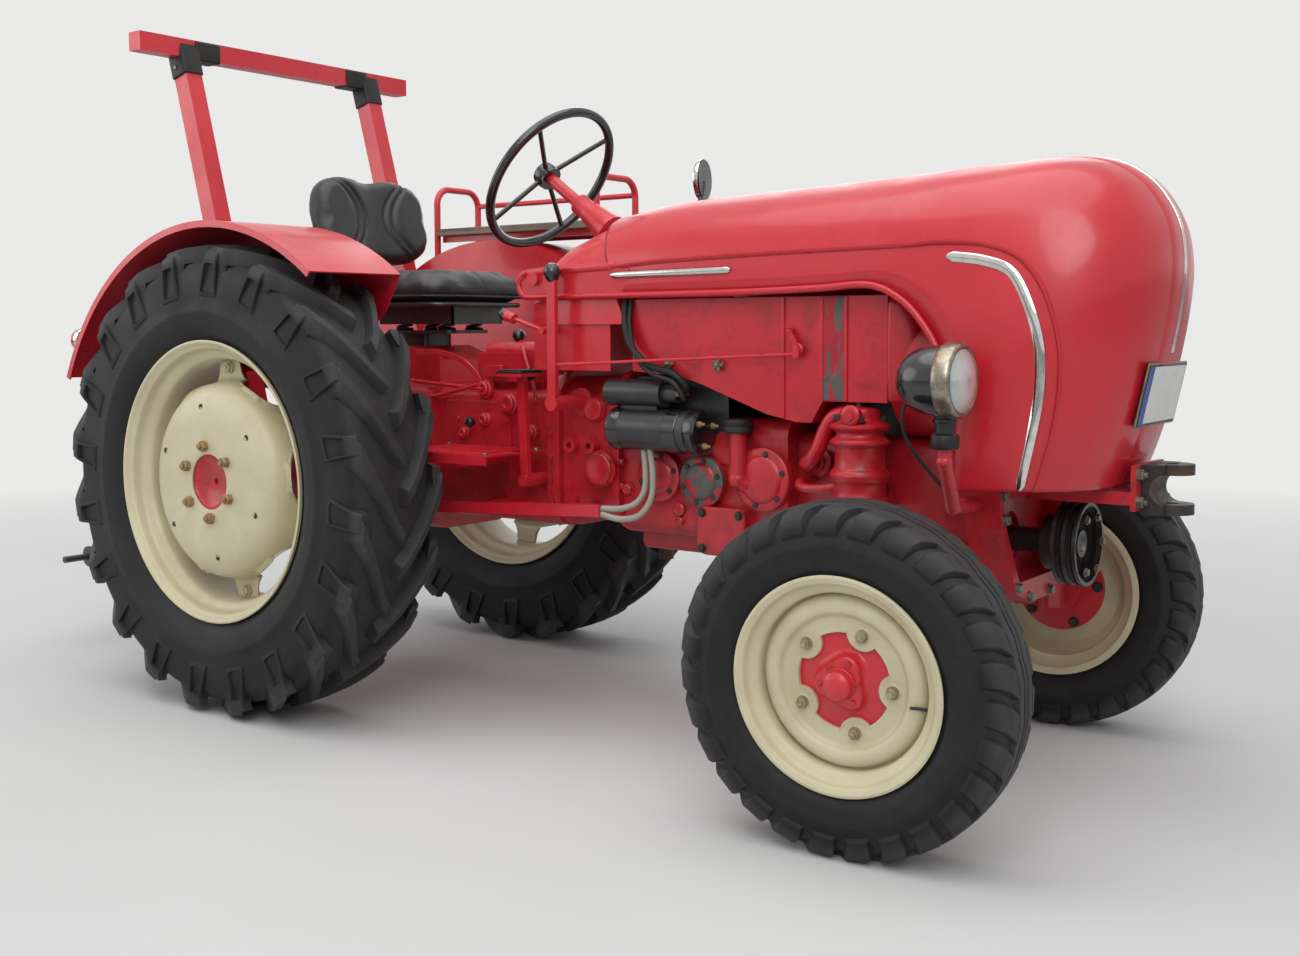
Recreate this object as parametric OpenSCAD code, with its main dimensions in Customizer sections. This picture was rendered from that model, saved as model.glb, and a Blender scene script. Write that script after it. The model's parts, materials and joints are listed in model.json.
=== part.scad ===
// Vintage farm tractor with an air-cooled engine, lug tyres and a rear hitch.
// +X points forward, +Y to the driver's left, +Z up. Z = 0 is the ground.
// Inside the modules X is counted from the rear axle; on_frame() shifts it to the middle of the length.

/* [Wheels] */
// Distance from the rear axle to the kingpins
wheelbase = 1880; // [1700:5:2100]
// Overall diameter of a rear tyre, over its lugs
rear_tyre_d = 1280; // [1240:5:1300]
// Width of a rear tyre over its lugs
rear_tyre_w = 295; // [270:5:310]
// Distance between the rear tyres' centre planes
rear_track = 1180; // [1160:5:1240]
// Diameter of a rear rim over its flanges
rear_rim_d = 766; // [740:2:780]
// Number of lugs on each side of a rear tyre
lug_count = 20; // [18:1:22]
// Height of a rear lug above the tyre's body
lug_h = 34; // [24:1:38]
// Overall diameter of a front tyre
front_tyre_d = 714; // [690:2:730]
// Width of a front tyre
front_tyre_w = 165; // [150:1:175]
// Distance between the front tyres' centre planes
front_track = 1196; // [1180:2:1230]
// Diameter of a front rim over its flanges
front_rim_d = 443; // [430:1:450]
// Outward lean of the front wheels, in degrees
camber = 2.84; // [0:0.1:4]
// Angle to the left at which the front wheels are parked, in degrees
rest_steer = 4.4; // [0:0.1:6]

/* [Front axle] */
// Half the distance between the kingpins
kingpin_y = 500; // [470:5:510]
// Radius of a kingpin
kingpin_r = 22; // [16:1:26]
// Radius of a stub axle
stub_r = 25; // [20:1:30]
// Length of a steering arm, from the kingpin to the tie rod
steer_arm = 140; // [110:5:160]
// Running clearance of a pin in its bore
pin_gap = 0.3; // [0.2:0.05:0.5]

/* [Hood] */
// Sheet thickness of the hood
hood_t = 3; // [2:0.5:5]
// Half width of the hood at the seam
hood_half_w = 285; // [270:1:295]
// Half width of the nose
nose_half_w = 312; // [300:1:320]
// Height of the hood's lower edge along the engine
bead_z = 1131; // [1125:1:1145]
// Height of the nose's lower edge
nose_low_z = 712; // [706:1:730]
// Distance from the kingpins forward to the nose's rear edge
nose_rear_x = 78; // [60:1:90]
// X of the hood's pivot
pivot_x = 800; // [780:1:820]
// Height of the hood's pivot
pivot_z = 1177; // [1165:1:1185]
// Clearance between the hood and the fixed cowl
hood_gap = 7; // [6:0.5:12]

/* [Body] */
// Half width of the crankcase
block_half_w = 190; // [170:5:200]
// Radius of the rear fenders
fender_r = 722; // [700:1:740]
// Sheet thickness of the fenders
fender_t = 4; // [2:0.5:5]
// Y of a fender's outer edge
fender_out_y = 715; // [700:1:730]
// Y of a fender's inner plate
fender_in_y = 406; // [398:1:410]
// Height of the roll bar's crossbar, top
roll_top_z = 1930; // [1850:5:2000]
// Side of the roll bar's square posts
post_w = 60; // [50:1:64]
// Width of the seat cushion
seat_w = 440; // [400:5:480]
// Diameter of the steering wheel
steering_d = 450; // [420:5:480]

/* [Rear hitch] */
// X of the lower links' pivots
link_x = -200; // [-205:1:-195]
// Height of the lower links' pivots
link_z = 440; // [430:1:450]
// Length of a lower link between its eyes
link_len = 920; // [880:5:960]
// Droop of the lower links at rest, in degrees
link_droop = 9.3; // [6:0.1:12]
// Radius of the hitch pins
hitch_pin_r = 11; // [9:0.5:12]
// Length of a lift arm
lift_len = 325; // [315:1:335]
// Radius of the tow pin's hole in the front jaw
tow_pin_r = 13; // [11:0.5:16]

/* [Hidden] */
$fn = 64;
red = [0.72, 0.09, 0.11];
cream = [0.86, 0.82, 0.66];
black = [0.09, 0.09, 0.10];
steel = [0.55, 0.55, 0.55];
wood = [0.45, 0.38, 0.30];
white = [0.9, 0.9, 0.9];

rear_axle_z = rear_tyre_d / 2;
front_axle_z = front_tyre_d / 2;
hub_reach = front_track / 2 - kingpin_y;
link_end = [link_x - link_len * cos(link_droop), link_z - link_len * sin(link_droop)];
drawbar_w = 60;
drawbar_h = 28;
jaw_x = wheelbase + 404;
jaw_tip_x = jaw_x + 92;
mid_x = (jaw_tip_x + link_end[0] - drawbar_w / 2) / 2;

// Placing and joining helpers
module on_frame() translate([-mid_x, 0, 0]) children();
module both() { children(); mirror([0, 1, 0]) children(); }
module slab_xz(y0, y1) translate([0, y1, 0]) rotate([90, 0, 0]) linear_extrude(y1 - y0) children();
module slab_yz(x0, x1) translate([x0, 0, 0]) rotate([90, 0, 90]) linear_extrude(x1 - x0) children();
module rod_x(x0, x1, y, z, r) translate([x0, y, z]) rotate([0, 90, 0]) cylinder(h = x1 - x0, r = r);
module rod_y(y0, y1, x, z, r) translate([x, y1, z]) rotate([90, 0, 0]) cylinder(h = y1 - y0, r = r);
module rod_z(z0, z1, x, y, r) translate([x, y, z0]) cylinder(h = z1 - z0, r = r);

// Turns the Z axis to point from p to q
module aim(p, q) {
    d = q - p;
    translate(p)
        rotate([0, acos(d[2] / norm(d)), atan2(d[1], d[0])]) children();
}
module rod(p, q, r) aim(p, q) cylinder(h = norm(q - p), r = r);
module strip(p, q, w, t) aim(p, q) translate([-w / 2, -t / 2, 0]) cube([w, t, norm(q - p)]);

// A bent tube through the points: straight runs, and an arc of radius bend * r at each inner point
function way(p, q) = (q - p) / norm(q - p);
function turn_at(points, i) = i < 1 || i > len(points) - 2 ? 0
    : acos(way(points[i - 1], points[i]) * way(points[i], points[i + 1]));
module tube(points, r, bend = 2.5) {
    cut = [for (i = [0 : len(points) - 1]) bend * r * tan(turn_at(points, i) / 2)];
    for (i = [0 : len(points) - 2]) {
        d = way(points[i], points[i + 1]);
        rod(points[i] + cut[i] * d, points[i + 1] - cut[i + 1] * d, r);
    }
    for (i = [1 : len(points) - 2]) {
        d = way(points[i - 1], points[i]);
        e = way(points[i], points[i + 1]);
        b = acos(d[2]);
        c = atan2(d[1], d[0]);
        side_x = [cos(c) * cos(b), sin(c) * cos(b), -sin(b)];
        side_y = [-sin(c), cos(c), 0];
        aim(points[i] - cut[i] * d, points[i]) rotate([0, 0, atan2(e * side_y, e * side_x)])
            translate([bend * r, 0, 0]) rotate([90, 0, 180])
                rotate_extrude(angle = turn_at(points, i)) translate([bend * r, 0]) circle(r);
    }
}

// A pipe through the points with an elbow a little thicker than the pipe at each inner point
module pipe(points, r) {
    for (i = [0 : len(points) - 2]) rod(points[i], points[i + 1], r);
    for (i = [1 : len(points) - 2]) translate(points[i]) sphere(r = r + 1.5, $fn = 32);
}

// A rectangle with round corners, from two squares and four circles
module rounded(x0, y0, x1, y1, r) {
    translate([x0 + r, y0]) square([x1 - x0 - 2 * r, y1 - y0]);
    translate([x0, y0 + r]) square([x1 - x0, y1 - y0 - 2 * r]);
    for (x = [x0 + r, x1 - r], y = [y0 + r, y1 - r]) translate([x, y]) circle(r);
}

// Wheel frames: local Z is the axle and points outward
module at_rear(side)
    on_frame() translate([0, side * rear_track / 2, rear_axle_z]) rotate([-side * 90, 0, 0]) children();
module at_kingpin(side)
    on_frame() translate([wheelbase, side * kingpin_y, 0]) rotate([0, 0, rest_steer]) children();
module at_front(side)
    at_kingpin(side) translate([0, side * hub_reach, front_axle_z])
        rotate([-side * camber, 0, 0]) rotate([-side * 90, 0, 0]) children();

// Rear tyre: body of revolution and two rows of slanted lugs
module rear_tyre(side) {
    r = rear_tyre_d / 2;
    body_r = r - lug_h;
    half = rear_tyre_w / 2;
    bead_r = rear_rim_d / 2 - 12.5;
    step = 360 / lug_count;
    // Lug stations: share of the half width, turn in degrees, height lost to the crown, half thickness
    stations = [[0.02, 0, 0, 15], [0.45, 8, 2, 17], [0.98, 21, 12, 22]];
    color(black) at_rear(side) {
        rotate_extrude($fn = 2 * lug_count) polygon([
            [bead_r, 108], [bead_r + 70, half - 5.5], [body_r - 30, half - 15.5], [body_r, 70],
            [body_r, -70], [body_r - 30, 15.5 - half], [bead_r + 70, 5.5 - half], [bead_r, -108]]);
        for (hand = [-1, 1], i = [0 : lug_count - 1])
            rotate([0, 0, (i + (hand > 0 ? 0.5 : 0)) * step])
                hull() polyhedron(
                    [for (s = stations) each lug_section(r - s[2], s[3], -side * s[1], hand * s[0] * half)],
                    [[0, 1, 2, 3], [4, 5, 1, 0], [5, 6, 2, 1], [6, 7, 3, 2], [7, 4, 0, 3],
                     [8, 9, 5, 4], [9, 10, 6, 5], [10, 11, 7, 6], [11, 8, 4, 7], [11, 10, 9, 8]]);
    }
}

// Four corners of a lug's section: top radius, half thickness, turn and height along the axle
function lug_section(top_r, t, turn, z) = [
    for (q = [[top_r - 52, -t], [top_r - 52, t], [top_r, t], [top_r, -t]])
        [q[0] * cos(turn) - q[1] * sin(turn), q[0] * sin(turn) + q[1] * cos(turn), z]];

// Rear rim: flanged hoop, crowned disc on six tabs and hub
module rear_rim(side) {
    r = rear_rim_d / 2;
    d = r - 107;
    w = 127;
    face = w - 8;
    color(cream) at_rear(side) {
        rotate_extrude($fn = 96) polygon([
            [r, w], [r - 6, w], [r - 24, w - 14], [r - 26, w - 40], [r - 52, w - 62], [r - 54, -w + 62],
            [r - 26, -w + 40], [r - 24, -w + 14], [r - 6, -w], [r, -w], [r - 2, -w + 10],
            [r - 17, -w + 20], [r - 19, -w + 44], [r - 46, -w + 66], [r - 46, w - 66],
            [r - 19, w - 44], [r - 17, w - 20], [r - 2, w - 10]]);
        difference() {
            rotate_extrude($fn = 96) polygon([
                [0, face], [d - 76, face], [d - 52, face - 3], [d - 33, face - 11], [d - 19, face - 25],
                [d - 10, face - 45], [d - 4, face - 70], [d, face - 100], [d - 8, face - 100], [d - 12, face - 70],
                [d - 18, face - 47], [d - 26, face - 30], [d - 38, face - 18], [d - 54, face - 11],
                [d - 77, face - 8], [0, face - 8]]);
            translate([0, 0, face - 20]) cylinder(h = 40, r = 75);
            for (a = [5 : 60 : 305]) rotate([0, 0, a]) {
                rotate([0, 0, 33]) translate([d - 71, 0, face - 20]) cylinder(h = 40, r = 8);
                translate([d, 0, face - 104]) rotate([0, 90, 0]) cylinder(h = 60, r = 54, center = true);
            }
        }
        for (a = [35 : 60 : 335]) rotate([0, 0, a]) translate([d - 10, -42, face - 104]) cube([66, 84, 9]);
        for (a = [36 : 60 : 336]) rotate([0, 0, a]) translate([98, 0, face]) cylinder(h = 22, r = 13);
    }
    color(red) at_rear(side) {
        difference() {
            translate([0, 0, face - 40]) cylinder(h = 34, r = 120);
            translate([0, 0, face - 22]) cylinder(h = 17, r1 = 52, r2 = 72);
        }
        translate([0, 0, face - 145]) cylinder(h = 110, r = 34);
    }
}

// Front tyre: ribbed body of revolution
module front_tyre(side) {
    r = front_tyre_d / 2;
    h = front_tyre_w / 2;
    b = front_rim_d / 2 - 13.3;
    color(black) at_front(side) rotate_extrude($fn = 96) polygon([
        [b, 56], [b + 14, 62], [b + 28, h - 8], [b + 60, h], [r - 44, h - 3], [r - 12, h - 14], [r - 4, h - 26],
        [r - 2, 38], [r - 10, 35], [r - 10, 31], [r - 1, 28], [r, 10], [r - 9, 7], [r - 9, 3],
        [r - 9, -3], [r - 9, -7], [r, -10], [r - 1, -28], [r - 10, -31], [r - 10, -35], [r - 2, -38],
        [r - 4, -h + 26], [r - 12, -h + 14], [r - 44, -h + 3], [b + 60, -h], [b + 28, -h + 8],
        [b + 14, -62], [b, -56],
        [b - 2, -48], [b - 2, 48]]);
}

// Front rim: dished wheel disc with a five-lobed opening, and its hub
module front_rim(side) {
    r = front_rim_d / 2;
    w = 73;
    pad = 26;
    color(cream) at_front(side) difference() {
        rotate_extrude($fn = 96) polygon([
            [0, pad], [r - 104, pad], [r - 92, pad + 7], [r - 72, pad + 13], [r - 46, pad + 2], [r - 48, pad - 14],
            [r - 44, w - 40], [r - 20, w - 16], [r - 17, w - 3], [r - 6, w], [r, w], [r - 2, w - 9],
            [r - 13, w - 14], [r - 15, w - 22], [r - 38, w - 42], [r - 38, -w + 42], [r - 15, -w + 22],
            [r - 13, -w + 14], [r - 2, -w + 9], [r, -w], [r - 6, -w], [r - 17, -w + 3], [r - 20, -w + 16],
            [r - 44, -w + 40], [r - 44, pad - 26], [r - 46, pad - 7], [r - 72, pad + 5],
            [r - 94, pad - 1], [r - 104, pad - 8], [0, pad - 8]]);
        translate([0, 0, pad - 20]) linear_extrude(40) rotate(31) lobes(96, 76);
    }
    color(cream) at_front(side) for (a = [67 : 72 : 355])
        rotate([0, 0, a]) translate([103, 0, pad]) cylinder(h = 12, r = 10);
    color(red) at_front(side) difference() {
        union() {
            translate([0, 0, pad - 22]) cylinder(h = 16, r = 114);
            translate([0, 0, pad - 62]) cylinder(h = 42, r = 60);
            translate([0, 0, pad - 10]) cylinder(h = 28, r = 44);
            translate([0, 0, pad + 16]) cylinder(h = 28, r = 30);
        }
        translate([0, 0, pad - 64]) cylinder(h = 76, r = stub_r + pin_gap);
    }
}

// Five lobes: round tips joined by a core
module lobes(tip_r, core_r) {
    circle(core_r);
    for (a = [0 : 72 : 288]) rotate(a) translate([tip_r - 30, 0]) circle(30);
}

// Knuckle: kingpin, yoke, stub axle and steering arm
yoke_top = front_axle_z + 34.5;
boss_top = front_axle_z + 115;
arm_z = front_axle_z - 32;
module knuckle(side) {
    color(red) at_kingpin(side) {
        difference() {
            union() {
                rod_z(arm_z, yoke_top, 0, 0, 40);
                rod_z(yoke_top, boss_top + 12, 0, 0, kingpin_r);
                strip_arm();
            }
            rod_z(arm_z - 10, arm_z + 40, -steer_arm, 0, 9 + pin_gap);
        }
        rod_z(boss_top + pin_gap, boss_top + 14, 0, 0, 32);
    }
    color(red) at_front(side) {
        translate([0, 0, -hub_reach]) cylinder(h = hub_reach - 38, r = stub_r + 4);
        translate([0, 0, -40]) cylinder(h = 76, r = stub_r);
    }
}
module strip_arm() {
    translate([-steer_arm, -17, arm_z]) cube([steer_arm, 34, 22]);
    rod_z(arm_z, arm_z + 22, -steer_arm, 0, 24);
}

// Tie rod between the two steering arms, with a pin up into each arm
module tie_rod() {
    dx = -steer_arm * cos(rest_steer);
    dy = -steer_arm * sin(rest_steer);
    x = wheelbase + dx;
    color(black) on_frame() translate([x, dy, 0]) {
        rod_y(-kingpin_y, kingpin_y, 0, arm_z - 18, 14);
        both() {
            rod_z(arm_z - 38, arm_z - pin_gap, 0, kingpin_y, 20);
            rod_z(arm_z - pin_gap, arm_z + 26, 0, kingpin_y, 9);
        }
    }
}

// Front axle beam with a pivot at its middle and a boss for each kingpin
beam_mid_z = 455;
module front_axle() {
    boss_low = yoke_top + pin_gap;
    color(red) on_frame() {
        difference() {
            union() {
                both() {
                    strip([wheelbase, 0, beam_mid_z], [wheelbase, kingpin_y, front_axle_z + 75], 56, 64);
                    rod_z(boss_low, boss_top, wheelbase, kingpin_y, 42);
                }
                rod_x(wheelbase - 60, wheelbase + 60, 0, beam_mid_z, 48);
            }
            both() rod_z(boss_low - 5, boss_top + 5, wheelbase, kingpin_y, kingpin_r + pin_gap);
            rod_x(wheelbase - 70, wheelbase + 70, 0, beam_mid_z, 20 + pin_gap);
        }
    }
}

// Front support: casting bolted to the engine, axle pivot and tow bracket
support_x0 = wheelbase + 80;
support_x1 = support_x0 + 85;
mount_z = 560;
crank_z = mount_z + 12;
lamp_x = support_x0 + 46;
lamp_y = 425;
module front_support() {
    color(red) on_frame() {
        difference() {
            slab_yz(support_x0, support_x1) polygon([
                [-240, 706], [240, 706], [222, 620], [135, 470], [60, 440], [-60, 440], [-135, 470], [-222, 620]]);
            slab_yz(support_x0 + 12, support_x1 + 1) polygon([
                [-214, 682], [214, 682], [200, 628], [118, 492], [-118, 492], [-200, 628]]);
            rod_x(support_x0 - 1, support_x0 + 13, 0, crank_z, 60);
        }
        // Pivot lugs on either side of the axle beam
        for (x = [wheelbase - 88, wheelbase + 62])
            difference() {
                translate([x, -45, beam_mid_z - 40]) cube([26, 90, 125]);
                rod_x(x - 1, x + 27, 0, beam_mid_z, 20 + pin_gap);
            }
        rod_x(wheelbase - 92, wheelbase + 92, 0, beam_mid_z, 20);
        translate([wheelbase - 88, -60, mount_z - 26]) cube([support_x0 - 1 - wheelbase + 88, 120, 26]);
        // Tow bracket under the nose, turned up in front of it
        translate([support_x1 - 1, -95, 676]) cube([jaw_x - support_x1 - 1, 190, 28]);
        translate([jaw_x - 11, -95, 664]) cube([10.7, 190, 96]);
        // Lamp brackets
        both() pipe([[lamp_x - 16, 225, 672], [lamp_x - 16, 345, 680], [lamp_x, lamp_y, 780], [lamp_x, lamp_y, 822]], 16);
    }
}

// Tow jaw: two rounded fingers on a block
module tow_jaw() {
    color(black) on_frame() difference() {
        union() {
            difference() {
                translate([jaw_x, -60, 654.5]) cube([46, 120, 105]);
                rod_y(-61, 61, jaw_x + 50, 707, 33);
            }
            for (z = [654, 738]) {
                translate([jaw_x + 20, -44, z]) cube([jaw_tip_x - jaw_x - 64, 88, 22]);
                rod_z(z, z + 22, jaw_tip_x - 44, 0, 44);
            }
        }
        rod_z(650, 765, jaw_tip_x - 44, 0, tow_pin_r);
    }
}

// Crank pulley with two belt grooves, on the shaft through the support
module crank_pulley() {
    color(black) on_frame() translate([support_x0 + 170, 0, crank_z]) rotate([0, 90, 0]) {
        rotate_extrude($fn = 64) polygon([
            [0, -30], [92, -30], [92, -22], [80, -14], [92, -6], [92, 2], [80, 10], [92, 18], [92, 26],
            [84, 26], [84, -10], [30, -10], [30, 10], [0, 10]]);
        translate([0, 0, -169.7]) cylinder(h = 139.7, r = 28);
        translate([0, 0, -66]) cylinder(h = 36, r = 62);
    }
}

// Crankcase with its round covers, sump and filler
module engine_block() {
    h = block_half_w;
    color(red) on_frame() {
        slab_yz(1010, 1500) rounded(-h, 527, h, 830, 40);
        slab_yz(1500, support_x0) rounded(-h + 50, mount_z, h - 50, 800, 40);
        slab_yz(1030, 1480) rounded(-130, 480, 130, 540, 20);
        // Round covers on the right side: X, Z, radius, thickness
        for (c = [[1140, 682, 62, 26], [1272, 676, 62, 30], [1440, 690, 74, 22], [1330, 760, 40, 8]])
            rod_y(-h - c[3], -h + 1, c[0], c[1], c[2]);
        // Oil filler
        rod_z(690, 806, 1382, -h - 34, 21);
        rod([1382, -h - 34, 690], [1415, -h + 2, 655], 21);
        translate([1382, -h - 34, 690]) sphere(r = 23);
        rod_z(806, 826, 1382, -h - 34, 34);
        // Lower bolted cover
        translate([1270, -h - 30, 505]) cube([125, 32, 105]);
        // Left side: injection pump and cover
        translate([1180, h - 1, 640]) cube([220, 70, 110]);
        for (x = [1220 : 60 : 1340]) rod_z(750, 790, x, h + 35, 14);
        rod_y(h - 1, h + 22, 1090, 660, 60);
    }
}

// Three finned cylinders with their heads
module cylinder_bank() {
    xs = [1150, 1330, 1510, 1690];
    color(steel) on_frame() for (x = [1180, 1370, 1564]) {
        translate([x, 0, x < 1500 ? 830 : 800]) {
            base = x < 1500 ? 0 : 30;
            cylinder(h = 190 + base, r = 62);
            for (i = [0 : 8]) translate([0, 0, 14 + base + i * 19]) cylinder(h = 7, r = 84);
            translate([-85, -95, 185 + base]) cube([170, 190, 70]);
        }
        translate([x - 60, -60, 1085]) cube([120, 120, 28]);
    }
}

// Air shroud on the right of the cylinders and the blower drum in front
module air_shroud() {
    color(red) on_frame() {
        slab_xz(-255, -100) polygon([
            [1092, 1120], [1092, 944], [1240, 933], [1300, 915], [1480, 850], [1560, 834], [1600, 834],
            [1630, 884], [1790, 884], [1790, 1120]]);
        rod_x(1789, 1900, -90, 960, 159);
    }
}

// Starter: motor with its solenoid on top
module starter_motor() {
    color(black) on_frame() {
        rod_x(1040, 1300, -250, 800, 52);
        rod_x(1020, 1190, -250, 890, 34);
        rod_x(1190, 1230, -250, 890, 22);
        translate([1060, -262, 850]) cube([110, 24, 14]);
        translate([1040, -212, 780]) cube([200, 22, 40]);
    }
}

// Ribbed oil filter canister with its elbow pipe
module oil_filter() {
    x = 1715;
    y = -236;
    seat_y = 50 - block_half_w - pin_gap;
    color(red) on_frame() {
        translate([x, y, 0]) rotate_extrude($fn = 64) polygon([
            [0, 640], [66, 640], [66, 668], [58, 674], [58, 702], [66, 708], [66, 730], [56, 736], [56, 782],
            [66, 788], [66, 800], [54, 806], [54, 818], [66, 824], [66, 834], [44, 842], [44, 872], [0, 872]]);
        pipe([[x - 20, y, 850], [1640, y, 846], [1610, y, 770], [1560, y + 10, 735], [1560, seat_y, 735]], 17);
        translate([x - 50, y + 50, 648]) cube([100, seat_y - y - 50, 40]);
    }
}

// Exhaust: pipe down from the heads on the left, silencer and tail pipe
module exhaust() {
    color(black) on_frame() {
        pipe([[1600, 95.3, 1040], [1600, 215, 1040], [1596, 248, 985], [1590, 250, 590], [1570, 250, 562], [1530, 250, 560]], 22);
        rod_x(1180, 1540, 250, 560, 55);
        pipe([[1190, 250, 560], [900, 262, 545], [840, 262, 515], [820, 262, 455], [820, 262, 380]], 22);
    }
}

// Clutch housing with end flanges, plugs and bosses
lever_x = 886;
lever_z = 860;
module clutch_housing() {
    color(red) on_frame() {
        slab_yz(790, 1010) rounded(-190, 540, 190, 925, 90);
        slab_yz(790, 812) rounded(-208, 522, 208, 943, 100);
        slab_yz(988, 1010) rounded(-208, 522, 208, 943, 100);
        rod_y(-205, -185, lever_x, lever_z, 36);
        rod_y(-222, -185, 960, 690, 48);
        for (x = [850, 915]) difference() {
            rod_y(-215, -185, x, 745, 20);
            rod_y(-216, -190, x, 745, 8);
        }
        rod_y(-200, -185, 840, 600, 20);
    }
}

// Gearbox between the clutch housing and the rear axle
module transmission() {
    color(red) on_frame() {
        slab_yz(300, 790) rounded(-165, 520, 165, 885, 40);
        slab_yz(760, 790) rounded(-195, 522, 195, 925, 60);
        slab_yz(300, 326) rounded(-195, 500, 195, 900, 60);
        translate([400, -172, 700]) cube([210, 8, 110]);
        translate([430, -120, 884]) cube([250, 240, 20]);
    }
}

// Rear axle: centre housing, trumpets, brake drums, power take-off and top link clevis
drum_end = rear_track / 2 + 22;
module rear_axle() {
    color(red) on_frame() difference() {
        union() {
            slab_yz(-170, 300) rounded(-165, 470, 165, 900, 60);
            both() {
                rod_y(160, 560, 0, rear_axle_z, 78);
                rod_y(160, 210, 0, rear_axle_z, 130);
                rod_y(500, drum_end, 0, rear_axle_z, 132);
                translate([-60, 340, rear_axle_z + 60]) cube([120, 100, 26]);
                translate([-225, 215, link_z - 32]) cube([60, 12, 64]);
                translate([-190, 160, link_z - 32]) cube([25, 67, 64]);
            }
            rod_x(-185, -170, 0, 590, 70);
            rod_x(-255, -170, 0, 590, 17.4);
            // Top link clevis
            for (y = [-32, 20]) translate([-232, y, 760]) cube([62, 12, 60]);
        }
        both() rod_y(drum_end - 50, drum_end + 1, 0, rear_axle_z, 34 + pin_gap);
        both() rod_y(214, 228, link_x, link_z, hitch_pin_r);
        rod_y(-40, 40, -212, 790, 9.7);
    }
}

// Hydraulic lift housing on top of the rear axle
shaft_x = -60;
shaft_z = 930;
module hydraulic_block() {
    color(red) on_frame() {
        difference() {
            slab_xz(-120, 120) polygon([[-150, 900], [290, 900], [290, 960], [180, 1000], [-110, 1000], [-150, 960]]);
            rod_y(-121, 121, shaft_x, shaft_z + 20, 26 + pin_gap);
        }
        translate([470, -150, 904]) cube([210, 130, 80]);
        rod_x(480, 670, -100, 984, 30);
    }
}

// Lift arms on the rockshaft
arm_x = shaft_x - lift_len * cos(10.5);
arm_end_z = shaft_z + 20 - lift_len * sin(10.5);
module lift_arms() {
    color(red) on_frame() {
        difference() {
            union() {
                rod_y(-200, 200, shaft_x, shaft_z + 20, 26);
                both() {
                    rod_y(160, 200, shaft_x, shaft_z + 20, 42);
                    rod_y(176, 200, arm_x, arm_end_z, 26);
                    strip([shaft_x, 188, shaft_z + 20], [arm_x, 188, arm_end_z], 46, 22);
                }
            }
            both() rod_y(150, 210, arm_x, arm_end_z, hitch_pin_r + pin_gap);
        }
    }
}

// Lift rods hanging from the arms to the lower links
link_dir = [-cos(link_droop), -sin(link_droop)];
rod_foot = [link_x + 450 * link_dir[0], link_z + 450 * link_dir[1]];
module lift_rods() {
    color(black) on_frame() both() {
        rod_y(176, 248, arm_x, arm_end_z, hitch_pin_r);
        rod_y(208, 248, arm_x, arm_end_z, 24);
        rod([arm_x, 228, arm_end_z], [rod_foot[0], 283, rod_foot[1]], 14);
        rod_y(271, 295, rod_foot[0], rod_foot[1], 24);
    }
}

// Lower links with the cross drawbar
module lower_links() {
    pin_y = 215;
    link_a = [link_x, 250, link_z];
    link_b = [link_end[0], 372, link_end[1]];
    color(black) on_frame() {
        both() {
            difference() {
                union() {
                    strip(link_a, link_b, 56, 20);
                    rod_y(238, 262, link_x, link_z, 32);
                    rod_y(356, 388, link_end[0], link_end[1], 34);
                }
            }
            rod_y(214, 238, link_x, link_z, hitch_pin_r - pin_gap);
            rod_y(388, 475, link_end[0], link_end[1], hitch_pin_r);
        }
        difference() {
            translate([link_end[0] - drawbar_w / 2, -356, link_end[1] - drawbar_h / 2])
                cube([drawbar_w, 712, drawbar_h]);
            for (y = [-240 : 80 : 240]) rod_z(link_end[1] - 20, link_end[1] + 20, link_end[0], y, hitch_pin_r);
        }
    }
}

// Points of one rib: centre point c, edge point e, half width w, roundness n, m steps a side
function rib(c, e, w, n, m) = [
    for (j = [-m : m])
        let (a = 90 * j / m, s = sign(j) * pow(abs(sin(a)), 2 / n), f = pow(max(cos(a), 0), 2 / n))
        [e[0] + (c[0] - e[0]) * f, w * s, e[1] + (c[1] - e[1]) * f]];

// Catmull-Rom value between table rows
function smooth(t, k, i, u) =
    let (n = len(t) - 1, a = t[max(i - 1, 0)][k], b = t[i][k], c = t[min(i + 1, n)][k], d = t[min(i + 2, n)][k])
    0.5 * (2 * b + (c - a) * u + (2 * a - 5 * b + 4 * c - d) * u * u + (3 * b - a - 3 * c + d) * u * u * u);

nose_x = wheelbase + nose_rear_x;

// Hood ribs: X and Z of the centre line, X and Z of the lower edge, half width
hood_rows = [
    [965, 1345, 1068, bead_z, hood_half_w],
    [1160, 1372, 1190, bead_z, hood_half_w + 2],
    [wheelbase - 461, 1383, wheelbase - 450, bead_z + 1, hood_half_w + 5],
    [wheelbase - 190, 1393, wheelbase - 240, bead_z + 6, hood_half_w + 10],
    [wheelbase + 110, 1408, wheelbase - 110, bead_z + 10, hood_half_w + 17],
    [wheelbase + 283, 1407, nose_x - 108, 1106, nose_half_w - 6],
    [wheelbase + 382, 1364, nose_x - 52, 1048, nose_half_w - 3],
    [wheelbase + 442, 1285, nose_x - 18, 990, nose_half_w],
    [wheelbase + 462, 1198, nose_x, 930, nose_half_w],
    [wheelbase + 458, 1104, nose_x, 884, nose_half_w],
    [wheelbase + 438, 985, nose_x, 836, nose_half_w],
    [wheelbase + 404, 835, nose_x, 770, nose_half_w],
    [wheelbase + 360, nose_low_z, nose_x, nose_low_z, nose_half_w - 4]];
rib_steps = 8;
hood_parts = 2;
hood_stations = [for (i = [0 : len(hood_rows) - 2], q = [0 : hood_parts - 1])
    [for (k = [0 : 4]) smooth(hood_rows, k, i, q / hood_parts)]];
hood_all = concat(hood_stations, [hood_rows[len(hood_rows) - 1]]);

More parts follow.
